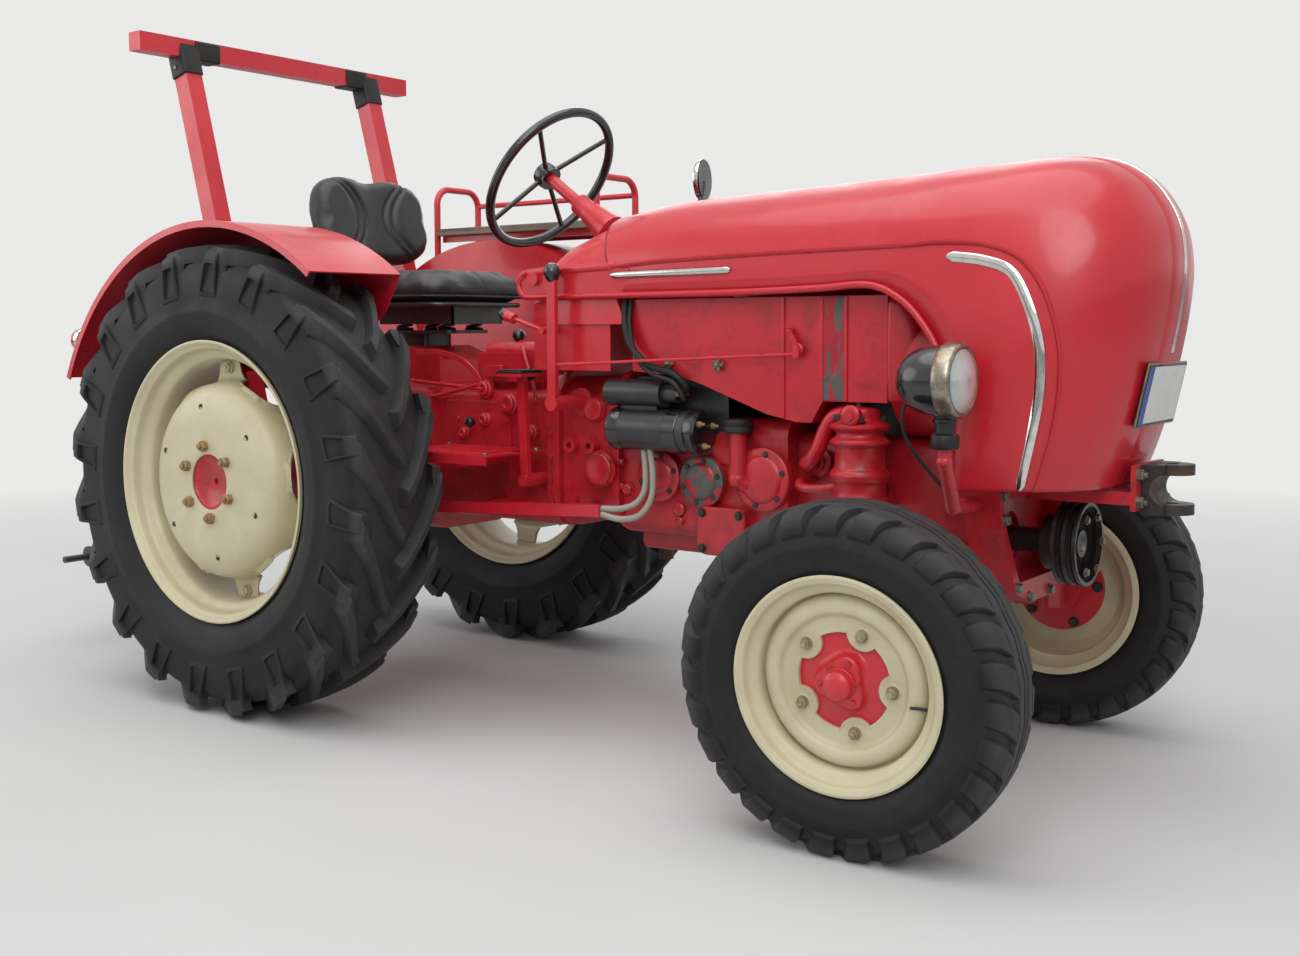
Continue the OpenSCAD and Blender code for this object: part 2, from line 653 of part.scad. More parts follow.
// Skin grid of the hood, drawn in by t
function hood_grid(t) = [for (s = hood_all)
    let (c = [s[0], s[1]], e = [s[2], s[3]], d = (e - c) / norm(e - c))
    rib(c + t * d, e, s[4] - t, 2.7, rib_steps)];

// A shell between two grids of the same size
module shell(outer, inner) {
    m = len(outer[0]);
    n = len(outer);
    o = n * m;
    flat_points = concat([for (r = outer) each r], [for (r = inner) each r]);
    polyhedron(flat_points, concat(
        [for (i = [0 : n - 2], j = [0 : m - 2]) [i * m + j, i * m + j + 1, (i + 1) * m + j + 1, (i + 1) * m + j]],
        [for (i = [0 : n - 2], j = [0 : m - 2])
            [o + (i + 1) * m + j, o + (i + 1) * m + j + 1, o + i * m + j + 1, o + i * m + j]],
        [for (j = [0 : m - 2]) [o + j, o + j + 1, j + 1, j]],
        [for (j = [0 : m - 2]) [(n - 1) * m + j, (n - 1) * m + j + 1, o + (n - 1) * m + j + 1, o + (n - 1) * m + j]],
        [for (i = [0 : n - 2]) [o + i * m, i * m, (i + 1) * m, o + (i + 1) * m]],
        [for (i = [0 : n - 2])
            [i * m + m - 1, o + i * m + m - 1, o + (i + 1) * m + m - 1, (i + 1) * m + m - 1]]));
}

// A closed body through sections that each start and end on its flat floor
module loft(sections) {
    m = len(sections[0]);
    n = len(sections);
    polyhedron([for (s = sections) each s], concat(
        [for (i = [0 : n - 2], j = [0 : m - 2]) [i * m + j, i * m + j + 1, (i + 1) * m + j + 1, (i + 1) * m + j]],
        [for (i = [0 : n - 2]) [i * m + m - 1, i * m, (i + 1) * m, (i + 1) * m + m - 1]],
        [[for (j = [0 : m - 1]) m - 1 - j]],
        [[for (j = [0 : m - 1]) (n - 1) * m + j]]));
}

// Hood with its nose: one shell that lifts about the rear pivots
module hood() {
    color(red) on_frame() {
        shell(hood_grid(0), hood_grid(hood_t));
        both() difference() {
            slab_xz(hood_half_w - hood_t, hood_half_w) {
                polygon([[776, bead_z], [1100, bead_z], [1100, 1180], [1068, 1205], [900, 1200], [776, 1193]]);
                translate([776, 1162]) circle(31);
            }
            rod_y(hood_half_w - 10, hood_half_w + 10, pivot_x, pivot_z, 9);
        }
    }
}

// Blank number plate on the nose
module number_plate() {
    color(white) on_frame() translate([wheelbase + 423, 0, 907]) rotate([0, 12, 0]) translate([0, -127.5, -65])
        cube([3, 255, 130]);
}

// Fixed cowl behind the hood, with its side sheets, hinge pins and the steering column
cowl_half_w = hood_half_w - hood_t - hood_gap;
column_top = [616, 0, 1466];
column_foot = [790, 0, 1340];
module dash_cowl() {
    rows = [
        [752, 1196, 752, 1060, cowl_half_w - 40], [775, 1240, 775, 1060, cowl_half_w - 12],
        [830, 1284, 850, 1060, cowl_half_w], [900, 1312, 950, 1060, cowl_half_w],
        [956, 1332, 1084, 1060, cowl_half_w]];
    color(red) on_frame() {
        loft([for (s = rows) rib([s[0], s[1]], [s[2], s[3]], s[4], 2.7, rib_steps)]);
        both() {
            rod_y(cowl_half_w - 5, hood_half_w + 4, pivot_x, pivot_z, 8);
            rod_y(hood_half_w + 0.5, hood_half_w + 12, pivot_x, pivot_z, 17);
            translate([780, 262, 943.3]) cube([250, 4, 122]);
        }
        translate([780, -264, 943.3]) cube([30, 528, 122]);
        rod(column_foot, column_top, 17);
        rod(column_foot, column_foot + 0.42 * (column_top - column_foot), 29);
    }
}

// Steering wheel: rim, hub and four spokes
module steering_wheel() {
    r = steering_d / 2 - 13;
    color(black) on_frame() aim(column_top, column_top + (column_top - column_foot)) translate([0, 0, 0.3]) {
        rotate_extrude($fn = 96) translate([r, 0]) circle(13, $fn = 24);
        cylinder(h = 36, r = 34);
        for (a = [45 : 90 : 315]) rotate([0, 0, a]) rod([28, 0, 18], [r, 0, 0], 7);
    }
}

// Footplates on each side, notched for the pedals, and the long step rails
pedal_x = 735;
pedal_z = 650;
module footplates() {
    plate_w = rear_track / 2 - rear_tyre_w / 2 - 17.5 - 195;
    color(red) on_frame() {
        both() {
            difference() {
                translate([400, 195, 722]) cube([350, plate_w, 5]);
                translate([pedal_x - 30, 226, 700]) cube([60, 64, 40]);
            }
            translate([400, 190 + plate_w, 702]) cube([350, 5, 20]);
            translate([620, 166, 640]) cube([12, 29, 87]);
            translate([620, 195, 690]) cube([12, plate_w - 20, 32]);
            strip([420, 330, 568], [1050, 330, 600], 30, 24);
            translate([560, 165, 560]) cube([30, 153, 24]);
            translate([900, 190.3, 575]) cube([30, 128, 20]);
        }
    }
}

// Rear fender: skin over the tyre and the plate inside it
fender_z = rear_axle_z - 22;
fender_top = fender_z + fender_r;
module fender(side) {
    a0 = 53;
    a1 = 156;
    color(red) on_frame() {
        translate([0, 0, fender_z]) rotate([90, 0, 0]) rotate([0, 0, a0])
            rotate_extrude(angle = a1 - a0, $fn = 120) {
                // Skin with a lip turned in at its outer edge
                mirror([0, side < 0 ? 0 : 1]) polygon([
                    [fender_r - fender_t, fender_in_y], [fender_r, fender_in_y], [fender_r, fender_out_y],
                    [fender_r - 18, fender_out_y], [fender_r - 18, fender_out_y - fender_t],
                    [fender_r - fender_t, fender_out_y - fender_t]]);
            }
        ya = side < 0 ? -fender_in_y - fender_t : fender_in_y;
        slab_xz(ya, ya + fender_t) intersection() {
            translate([0, fender_z]) circle(fender_r - fender_t / 2, $fn = 120);
            polygon([
                [434, 1300], [434, 1194], [380, 1100], [180, 930], [60, 900], [60, rear_axle_z + 86],
                [-60, rear_axle_z + 86], [-60, 900], [-200, 930], [-400, 880], [-661, 912], [-661, 1400]]);
        }
    }
}

// Roll bar: leaning posts on beams over the axle, and a crossbar
post_y = 366;
post_lean = 0.279;
post_foot = [-222, post_y, rear_axle_z + 116];
module roll_bar() {
    rise = roll_top_z - 40 - post_foot[2];
    top_x = post_foot[0] - post_lean * rise;
    color(red) on_frame() {
        both() {
            translate([post_foot[0] - 34, post_y - post_w / 2, rear_axle_z + 86.3]) cube([290, post_w, 50]);
            strip(post_foot, post_foot + [-post_lean * rise, 0, rise], post_w, post_w - 4);
        }
        translate([top_x - 27, -535, roll_top_z - 55]) cube([55, 1070, 55]);
    }
}

// Seat frame: plate, spring box and foot
module seat_frame() {
    color(black) on_frame() {
        translate([-60, -190, 1105]) cube([420, 380, 22]);
        translate([40, -90, 1040]) cube([260, 180, 65]);
        translate([60, -60, 1000]) cube([110, 120, 40]);
        // Arms behind the backrest
        for (y = [-70, 50]) {
            translate([-150, y, 1105]) cube([95, 20, 16]);
            at_backrest() translate([-60.3, y + 2, -120]) cube([15, 16, 300]);
        }
    }
}

// Seat cushion and backrest: plain closed solids
module seat_cushion() {
    color(black) on_frame() translate([0, 0, 1127.5]) linear_extrude(92)
        rounded(-55, -seat_w / 2, 370, seat_w / 2, 90);
}
module at_backrest() translate([-105, 0, 1235]) rotate([0, -12, 0]) children();
module seat_backrest() {
    color(black) on_frame() at_backrest() translate([-45, 0, 0]) rotate([90, 0, 90])
        linear_extrude(90) rounded(-seat_w / 2, 0, seat_w / 2, 285, 90);
}

// Passenger rails on the left fender, with the board between them
rail_y = [fender_in_y + 44, fender_out_y - 63];
rail_top = fender_top + 188;
rail_x = [-280, 418];
module passenger_rails() {
    color(red) on_frame() {
        difference() {
            for (x = rail_x)
                tube([[x, rail_y[0], fender_top - 160], [x, rail_y[0], rail_top],
                      [x, rail_y[1], rail_top], [x, rail_y[1], fender_top - 160]], 11, 5);
            rod_y(rail_y[0] - 30, rail_y[1] + 30, 0, fender_z, fender_r + 0.3, $fn = 120);
        }
        rod([rail_x[0], rail_y[1], rail_top - 48], [rail_x[1], rail_y[1], rail_top - 48], 9);
        for (y = [rail_y[0] + 14, rail_y[1] - 26])
            translate([rail_x[0] + 11, y, fender_top + 5]) cube([rail_x[1] - rail_x[0] - 22, 12, 20]);
    }
}
module passenger_board() {
    color(wood) on_frame() translate([rail_x[0] + 14, rail_y[0] - 20, fender_top + 25])
        cube([rail_x[1] - rail_x[0] - 28, rail_y[1] - rail_y[0] + 40, 24]);
}

// Round mirror on a stalk at the left
module side_mirror() {
    color(black) on_frame() {
        rod_y(266.3, 284, 840, 1024, 12);
        rod([840, 277, 1024], [830, 430, 1440], 8);
        translate([822, 450, 1487]) rotate([0, 90, 15]) cylinder(h = 16, r = 58, center = true);
        rod([830, 430, 1440], [828, 444, 1480], 8);
    }
}

// Headlamps: bulb-shaped shells with a rim and a socket
module headlamps() {
    color(black) on_frame() both() translate([lamp_x, lamp_y, 0]) {
        rod_z(822, 882, 0, 0, 26);
        translate([-30, 0, 943]) rotate([0, 90, 0])
            rotate_extrude($fn = 64) polygon([
                [0, -72], [30, -66], [52, -48], [66, -20], [71, 14], [71, 40], [73, 44], [73, 60], [62, 64],
                [40, 72], [0, 76]]);
    }
}

// Tail lamps on the fenders' rear edges, where the skin stands lamp_rise over its centre
lamp_rise = 403;
lamp_back = -sqrt(fender_r * fender_r - lamp_rise * lamp_rise);
module tail_lamps() {
    color(black) on_frame() both() difference() {
        translate([lamp_back - 57, fender_out_y - 43, fender_z + lamp_rise]) rotate([0, 90, 0]) rotate_extrude()
            polygon([[0, 0], [24, 3], [34, 12], [34, 38], [28, 44], [28, 95], [0, 95]]);
        rod_y(600, 730, 0, fender_z, fender_r + 0.3, $fn = 120);
    }
}

// Levers, rods and pedals
module controls() {
    lever_y = -318;
    color(red) on_frame() {
        rod_y(lever_y - 10, -205.3, lever_x, lever_z, 19);
        translate([lever_x - 13, lever_y - 7, lever_z]) cube([26, 14, 322]);
        rod_y(lever_y - 10, -266.3, 856, 1045, 9);
        rod([856, lever_y, 1045], [745, lever_y, 1078], 5);
        both() {
            rod_y(165.3, 270, pedal_x, pedal_z, 16);
            strip([pedal_x, 252, pedal_z], [722, 252, 930], 26, 14);
            translate([690, 236, 925]) cube([85, 80, 10]);
        }
        rod([lever_x, lever_y, 958], [1570, -268, 990], 4);
        translate([1561, -277, 981]) cube([18, 21.7, 18]);
    }
    color(black) on_frame() {
        translate([lever_x, lever_y, 1192]) rotate([90, 0, 0]) sphere(r = 22);
        rod([758, lever_y, 1074.1], [722, lever_y, 1084.8], 13);
    }
}

engine_block();
cylinder_bank();
air_shroud();
starter_motor();
oil_filter();
exhaust();
clutch_housing();
transmission();
rear_axle();
hydraulic_block();
front_support();
front_axle();
crank_pulley();
tow_jaw();
dash_cowl();
footplates();
fender(-1);  // fender_right
fender(1);  // fender_left
roll_bar();
seat_frame();
seat_cushion();
seat_backrest();
passenger_rails();
passenger_board();
side_mirror();
headlamps();
tail_lamps();
controls();
hood();
number_plate();
steering_wheel();
knuckle(-1);  // knuckle_right
knuckle(1);  // knuckle_left
tie_rod();
front_rim(-1);  // front_rim_right
front_tyre(-1);  // front_tyre_right
front_rim(1);  // front_rim_left
front_tyre(1);  // front_tyre_left
rear_rim(-1);  // rear_rim_right
rear_tyre(-1);  // rear_tyre_right
rear_rim(1);  // rear_rim_left
rear_tyre(1);  // rear_tyre_left
lower_links();
lift_arms();
lift_rods();
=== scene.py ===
import json
import math
import random
from math import cos, exp, hypot, pi, radians, sin, sqrt

import bmesh
import bpy
from mathutils import Matrix, Vector


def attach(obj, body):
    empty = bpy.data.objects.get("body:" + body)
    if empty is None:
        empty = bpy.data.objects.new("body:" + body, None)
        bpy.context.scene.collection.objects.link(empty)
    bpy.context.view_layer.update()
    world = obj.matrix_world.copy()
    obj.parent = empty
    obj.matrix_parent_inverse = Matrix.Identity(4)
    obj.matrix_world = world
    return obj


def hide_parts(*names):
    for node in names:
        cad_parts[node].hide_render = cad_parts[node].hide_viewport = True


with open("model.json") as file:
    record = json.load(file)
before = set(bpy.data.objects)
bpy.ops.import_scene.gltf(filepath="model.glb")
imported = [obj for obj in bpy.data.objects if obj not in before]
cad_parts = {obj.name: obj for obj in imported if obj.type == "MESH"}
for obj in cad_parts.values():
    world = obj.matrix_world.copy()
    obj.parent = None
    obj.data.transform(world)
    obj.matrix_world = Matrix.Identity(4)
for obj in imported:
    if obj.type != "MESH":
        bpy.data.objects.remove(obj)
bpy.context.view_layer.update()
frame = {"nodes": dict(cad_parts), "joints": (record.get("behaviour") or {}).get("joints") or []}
nodes = frame["nodes"]
scene = bpy.context.scene

# Places are written in millimetres, X from the rear axle, Z from the ground
joint_at = {j["name"]: j["pos_m"] for j in frame["joints"]}
AXLE_X = joint_at["rear_wheel_right_spin"][0]
REAR_Z = 640
FRONT_Z = 357


def at(x, y, z):
    return Vector((AXLE_X + x / 1000, y / 1000, z / 1000))


def mm(v):
    return v / 1000


def placed(x, y, z, degrees=0, axis="Z"):
    """A matrix to a place, turned about one axis."""
    return Matrix.Translation(at(x, y, z)) @ Matrix.Rotation(radians(degrees), 4, axis)


# Frames for outlines drawn on the floor plan, and for outlines seen from the right
FLAT, UPRIGHT = placed(0, 0, 0), placed(0, 0, 0, 90, "X")
RIGHTWARD = (0, -1, 0)


def srgb(r, g, b):
    return tuple((c / 255 / 12.92) if c <= 10 else ((c / 255 + 0.055) / 1.055) ** 2.4 for c in (r, g, b)) + (1,)


# Materials

class Shader:
    """A Principled material and short calls for its nodes."""

    def __init__(self, name):
        self.material = bpy.data.materials.new(name)
        self.material.use_nodes = True
        self.tree = self.material.node_tree
        self.bsdf = self.tree.nodes["Principled BSDF"]
        self.coords = self.add("ShaderNodeTexCoord").outputs["Object"]

    def add(self, kind, inputs=None, **settings):
        node = self.tree.nodes.new(kind)
        for key, value in settings.items():
            setattr(node, key, value)
        for key, value in (inputs or {}).items():
            self.put(node.inputs[key], value)
        return node

    def put(self, socket, value):
        if isinstance(value, bpy.types.NodeSocket):
            self.tree.links.new(value, socket)
        else:
            socket.default_value = value

    def set(self, **values):
        for key, value in values.items():
            self.put(self.bsdf.inputs[key.replace("_", " ")], value)

    def noise(self, scale, detail=4, rough=0.55, coords=None, distortion=0.0):
        return self.add("ShaderNodeTexNoise", {"Vector": coords or self.coords, "Scale": scale, "Detail": detail,
                                               "Roughness": rough, "Distortion": distortion}).outputs["Fac"]

    def ramp(self, value, low, high, a=0.0, b=1.0):
        return self.add("ShaderNodeMapRange", {"Value": value, "From Min": low, "From Max": high,
                                               "To Min": a, "To Max": b}).outputs["Result"]

    def mix(self, fac, a, b):
        node = self.add("ShaderNodeMix", data_type="RGBA")
        for socket, value in ((node.inputs[0], fac), (node.inputs[6], a), (node.inputs[7], b)):
            self.put(socket, value)
        return node.outputs[2]

    def math(self, op, a, b=0.0, clamp=False):
        node = self.add("ShaderNodeMath", operation=op, use_clamp=clamp)
        self.put(node.inputs[0], a)
        self.put(node.inputs[1], b)
        return node.outputs[0]

    def axis(self, name):
        return self.add("ShaderNodeSeparateXYZ", {0: self.coords}).outputs[name]

    def facing_up(self):
        normal = self.add("ShaderNodeNewGeometry").outputs["Normal"]
        return self.add("ShaderNodeSeparateXYZ", {0: normal}).outputs["Z"]

    def bump(self, height, strength=0.3, distance=0.001, under=None):
        inputs = {"Height": height, "Strength": strength, "Distance": distance}
        if under is not None:
            inputs["Normal"] = under
        return self.add("ShaderNodeBump", inputs).outputs["Normal"]


def painted(name, colour, faded, dirt=0.25, rough=0.3, coat=0.35, chips=0.0, dirt_colour=srgb(62, 40, 34),
        low_dirt=0.0):
    """Old paint: faded patches, grime, dust low down and a few chips to the metal."""
    s = Shader(name)
    cloud = s.ramp(s.noise(2.6, 5, 0.6), 0.36, 0.66)
    base = s.mix(cloud, colour, faded)
    streak = s.ramp(s.noise(19, 6, 0.7, distortion=0.6), 0.50, 0.72, 0.0, dirt)
    if low_dirt:
        low = s.ramp(s.axis("Z"), 0.95, 0.45, 0.0, low_dirt)
        streak = s.math("ADD", streak, s.math("MULTIPLY", low, s.ramp(s.noise(7, 6, 0.7), 0.34, 0.66)), True)
    base = s.mix(streak, base, dirt_colour)
    roughness = s.ramp(s.noise(9, 5), 0.3, 0.7, rough - 0.06, rough + 0.14)
    if chips:
        spots = s.ramp(s.noise(55, 8, 0.75), 0.70 - chips, 0.725 - chips)
        base = s.mix(spots, base, srgb(88, 74, 66))
        roughness = s.math("ADD", roughness, s.math("MULTIPLY", spots, 0.3))
    peel = s.noise(260, 2)
    s.set(Base_Color=base, Roughness=roughness, Coat_Weight=coat, Coat_Roughness=0.12,
          Normal=s.bump(peel, 0.10, 0.0006, s.bump(s.noise(5, 3), 0.10, 0.004)))
    return s.material


HOOD_PAINT = painted("hood_paint", srgb(190, 20, 37), srgb(198, 38, 50), dirt=0.12, rough=0.30, coat=0.3)
BODY_PAINT = painted("body_paint", srgb(196, 24, 42), srgb(206, 44, 54), dirt=0.22, rough=0.33, coat=0.3, chips=0.02)
ENGINE_PAINT = painted("engine_paint", srgb(188, 20, 38), srgb(198, 38, 50), dirt=0.48, rough=0.36, coat=0.25,
        chips=0.03, dirt_colour=srgb(48, 26, 24), low_dirt=0.35)
BLACK_PAINT = painted("black_paint", srgb(30, 30, 32), srgb(46, 45, 45), dirt=0.4, rough=0.36, coat=0.3, chips=0.02,
                      dirt_colour=srgb(84, 74, 64))
BLACK_GLOSS = painted("black_gloss", srgb(20, 20, 22), srgb(30, 30, 32), dirt=0.08, rough=0.16, coat=0.6)


def worn_paint(name, stretch, low, high):
    """Red paint rubbed off in patches down to dark metal."""
    s = Shader(name)
    coords = s.add("ShaderNodeMapping", {"Vector": s.coords, "Scale": stretch}).outputs[0]
    patch = s.ramp(s.noise(1.0, 7, 0.62, coords, 0.5), low, high)
    metal = s.mix(s.noise(60, 5), srgb(58, 62, 62), srgb(92, 96, 92))
    red = s.mix(s.ramp(s.noise(8, 5), 0.4, 0.7), srgb(178, 18, 36), srgb(150, 22, 34))
    s.set(Base_Color=s.mix(patch, red, metal), Roughness=s.ramp(patch, 0.0, 1.0, 0.36, 0.55),
          Normal=s.bump(patch, 0.4, 0.0006), Coat_Weight=0.1)
    return s.material


def rusty(name, colour, rust, amount=0.5, rough=0.6, metal=0.35):
    s = Shader(name)
    patch = s.ramp(s.noise(13, 8, 0.7), 0.62 - amount * 0.3, 0.70 - amount * 0.18)
    base = s.mix(patch, s.mix(s.noise(40, 3), colour, srgb(60, 56, 54)), rust)
    base = s.mix(s.ramp(s.noise(60, 6, 0.8), 0.5, 0.75, 0, 0.6), base, srgb(40, 28, 22))
    s.set(Base_Color=base, Metallic=metal, Roughness=s.ramp(s.noise(30, 6), 0.3, 0.7, rough - 0.12, rough + 0.2),
          Normal=s.bump(s.noise(120, 8, 0.7), 0.45, 0.001))
    return s.material


IRON = rusty("bare_iron", srgb(74, 70, 68), srgb(104, 66, 44))
DARK_IRON = rusty("dark_iron", srgb(52, 51, 52), srgb(78, 58, 46), amount=0.35, rough=0.5)
ZINC = rusty("zinc_plate", srgb(176, 170, 156), srgb(140, 112, 74), amount=0.25, rough=0.38, metal=0.8)
BRASS_NUT = rusty("brass_nut", srgb(206, 170, 122), srgb(158, 116, 70), amount=0.25, rough=0.42, metal=0.35)
COPPER = rusty("copper_pipe", srgb(178, 104, 74), srgb(92, 62, 46), amount=0.35, rough=0.35, metal=0.9)


def plated():
    s = Shader("chrome_trim")
    haze = s.ramp(s.noise(28, 6, 0.7), 0.45, 0.75)
    s.set(Base_Color=s.mix(haze, srgb(214, 214, 212), srgb(178, 172, 160)), Metallic=1.0,
          Roughness=s.ramp(haze, 0.0, 1.0, 0.07, 0.24), Normal=s.bump(s.noise(60, 3), 0.05, 0.001))
    return s.material


CHROME = plated()
LAMP_RIM = rusty("lamp_rim", srgb(196, 190, 172), srgb(146, 116, 78), amount=0.45, rough=0.26, metal=0.85)
CREAM = painted("cream_paint", srgb(206, 198, 166), srgb(188, 178, 144), dirt=0.4, rough=0.4, coat=0.12,
        dirt_colour=srgb(140, 118, 86))
CREAM_NUT = rusty("cream_nut", srgb(200, 188, 150), srgb(150, 112, 70), amount=0.2, rough=0.45, metal=0.1)


def rubber(name, colour, dust, centre=None, axle=None, tread_from=None, rough=0.6):
    """Rubber with a little dust; a tyre's tread is scuffed paler than its side."""
    s = Shader(name)
    base = s.mix(s.ramp(s.noise(24, 6, 0.65), 0.35, 0.7), colour, tuple(c * 1.25 for c in colour[:3]) + (1,))
    settled = s.ramp(s.noise(6, 8, 0.75), 0.46, 0.74, 0.0, 0.22)
    height = s.noise(140, 6)
    if centre is not None:
        radius = radial(s, centre, axle)
        outside = s.ramp(radius, tread_from - 0.012, tread_from + 0.012)
        scuffed = s.math("MULTIPLY", outside, s.ramp(s.noise(15, 8, 0.8), 0.3, 0.7, 0.25, 0.6))
        base = s.mix(scuffed, base, dust)
        rings = s.add("ShaderNodeTexWave", {"Vector": s.add("ShaderNodeCombineXYZ", {0: radius}).outputs[0],
                                            "Scale": 46.0, "Distortion": 0.0, "Detail": 0.0}).outputs["Fac"]
        inside = s.math("SUBTRACT", 1.0, outside)
        height = s.math("ADD", s.math("MULTIPLY", rings, s.math("MULTIPLY", inside, 0.25)), height)
    base = s.mix(settled, base, dust)
    s.set(Base_Color=base, Roughness=s.ramp(s.noise(12, 6), 0.3, 0.7, rough - 0.1, rough + 0.12),
          Specular_IOR_Level=0.32, Normal=s.bump(height, 0.25, 0.0008))
    return s.material


def radial(s, centre, axle):
    """Distance from a wheel's axle, in metres."""
    offset = s.add("ShaderNodeVectorMath", {0: s.coords, 1: centre}, operation="SUBTRACT").outputs[0]
    along = s.add("ShaderNodeVectorMath", {0: offset, 1: axle}, operation="DOT_PRODUCT").outputs["Value"]
    length = s.add("ShaderNodeVectorMath", {0: offset}, operation="LENGTH").outputs["Value"]
    square = s.math("SUBTRACT", s.math("MULTIPLY", length, length), s.math("MULTIPLY", along, along))
    return s.math("POWER", s.math("MAXIMUM", square, 0.0), 0.5)


def rim_paint():
    """Cream paint with rust marks."""
    s = Shader("rim_paint")
    cream = s.mix(s.ramp(s.noise(5, 6, 0.65), 0.35, 0.7), srgb(206, 198, 166), srgb(188, 178, 144))
    cream = s.mix(s.ramp(s.noise(34, 8, 0.8), 0.62, 0.78, 0.0, 0.5), cream, srgb(142, 120, 88))
    cream = s.mix(s.ramp(s.noise(90, 6, 0.8), 0.71, 0.75), cream, srgb(112, 66, 40))
    s.set(Base_Color=cream, Roughness=s.ramp(s.noise(14, 5), 0.3, 0.7, 0.36, 0.55),
          Coat_Weight=0.12, Normal=s.bump(s.noise(180, 4), 0.15, 0.0006, s.bump(s.noise(12, 4), 0.1, 0.003)))
    return s.material


RIM_PAINT = rim_paint()


def vinyl():
    s = Shader("seat_vinyl")
    grain = s.add("ShaderNodeTexVoronoi", {"Vector": s.coords, "Scale": 620.0}).outputs["Distance"]
    base = s.mix(s.ramp(s.noise(7, 6, 0.7), 0.35, 0.7), srgb(34, 34, 37), srgb(54, 54, 58))
    base = s.mix(s.ramp(s.facing_up(), 0.5, 1.0, 0.0, 0.25), base, srgb(96, 92, 88))
    s.set(Base_Color=base, Roughness=s.ramp(s.noise(9, 5), 0.3, 0.7, 0.34, 0.52), Specular_IOR_Level=0.5,
          Normal=s.bump(grain, 0.35, 0.0006, s.bump(s.noise(26, 4), 0.12, 0.004)))
    return s.material


def old_wood():
    s = Shader("old_wood")
    stretched = s.add("ShaderNodeMapping", {"Vector": s.coords, "Scale": (2.2, 46.0, 46.0)}).outputs[0]
    grain = s.noise(1.0, 8, 0.7, stretched, 0.6)
    base = s.mix(s.ramp(grain, 0.35, 0.65), srgb(122, 108, 92), srgb(74, 62, 52))
    base = s.mix(s.ramp(s.noise(3.5, 5), 0.4, 0.7, 0, 0.6), base, srgb(146, 136, 120))
    s.set(Base_Color=base, Roughness=s.ramp(grain, 0.3, 0.7, 0.62, 0.85), Normal=s.bump(grain, 0.6, 0.0015))
    return s.material


def plate_paint():
    """White sheet, a blue band at one end and a thin black edge line."""
    s = Shader("plate_paint")
    y, z = s.axis("Y"), s.axis("Z")
    band = s.math("LESS_THAN", y, -0.093)
    edge = s.math("MAXIMUM", s.math("GREATER_THAN", s.math("ABSOLUTE", y), 0.1235),
                  s.math("GREATER_THAN", s.math("ABSOLUTE", s.math("SUBTRACT", z, 0.907)), 0.0590))
    rubbed = s.mix(s.ramp(s.noise(22, 7, 0.7), 0.45, 0.75, 0, 0.35), srgb(226, 226, 222), srgb(172, 168, 158))
    white = s.mix(band, rubbed, srgb(30, 62, 150))
    s.set(Base_Color=s.mix(edge, white, srgb(28, 28, 30)), Roughness=s.ramp(s.noise(15, 4), 0.3, 0.7, 0.3, 0.45),
          Normal=s.bump(s.noise(120, 3), 0.06, 0.0005))
    return s.material


def lens(name, colour, deep, ribs=90.0, spot=None):
    """Moulded glass seen against its reflector, so it can stay opaque; spot is |Y| and Z of a lamp's middle."""
    s = Shader(name)
    if spot:
        dy = s.math("SUBTRACT", s.math("ABSOLUTE", s.axis("Y")), spot[0])
        dz = s.math("SUBTRACT", s.axis("Z"), spot[1])
        away = s.math("POWER", s.math("ADD", s.math("MULTIPLY", dy, dy), s.math("MULTIPLY", dz, dz)), 0.5)
        ring_shade = s.math("ADD", s.ramp(away, 0.034, 0.062, 0.0, 0.7), s.ramp(away, 0.016, 0.006, 0.0, 0.45), True)
        colour = s.mix(ring_shade, colour, srgb(136, 142, 144))
    fluted = s.add("ShaderNodeTexWave", {"Vector": s.coords, "Scale": ribs, "Distortion": 0.2},
            bands_direction="Y").outputs["Fac"]
    s.set(Base_Color=s.mix(s.math("MULTIPLY", fluted, 0.7), colour, deep), Roughness=0.06, Coat_Weight=1.0,
          Coat_Roughness=0.03, Metallic=0.25, Normal=s.bump(fluted, 0.35, 0.001))
    return s.material


CLEAR_LENS = lens("clear_lens", srgb(228, 232, 230), srgb(178, 187, 189), spot=(0.425, 0.943))
RED_LENS = lens("red_lens", srgb(196, 26, 24), srgb(120, 8, 10), 60.0)
VINYL = vinyl()
WOOD = old_wood()
PLATE = plate_paint()
HOSE = rubber("hose_rubber", srgb(30, 30, 31), srgb(96, 88, 78), rough=0.5)
GREY_HOSE = rubber("grey_hose", srgb(150, 146, 136), srgb(110, 92, 74), rough=0.45)


def mirror_glass():
    s = Shader("mirror_glass")
    s.set(Base_Color=s.mix(s.ramp(s.noise(20, 5), 0.5, 0.8), srgb(206, 212, 214), srgb(170, 174, 172)), Metallic=1.0,
          Roughness=s.ramp(s.noise(14, 5), 0.4, 0.8, 0.03, 0.16))
    return s.material


MIRROR = mirror_glass()


# Mesh helpers


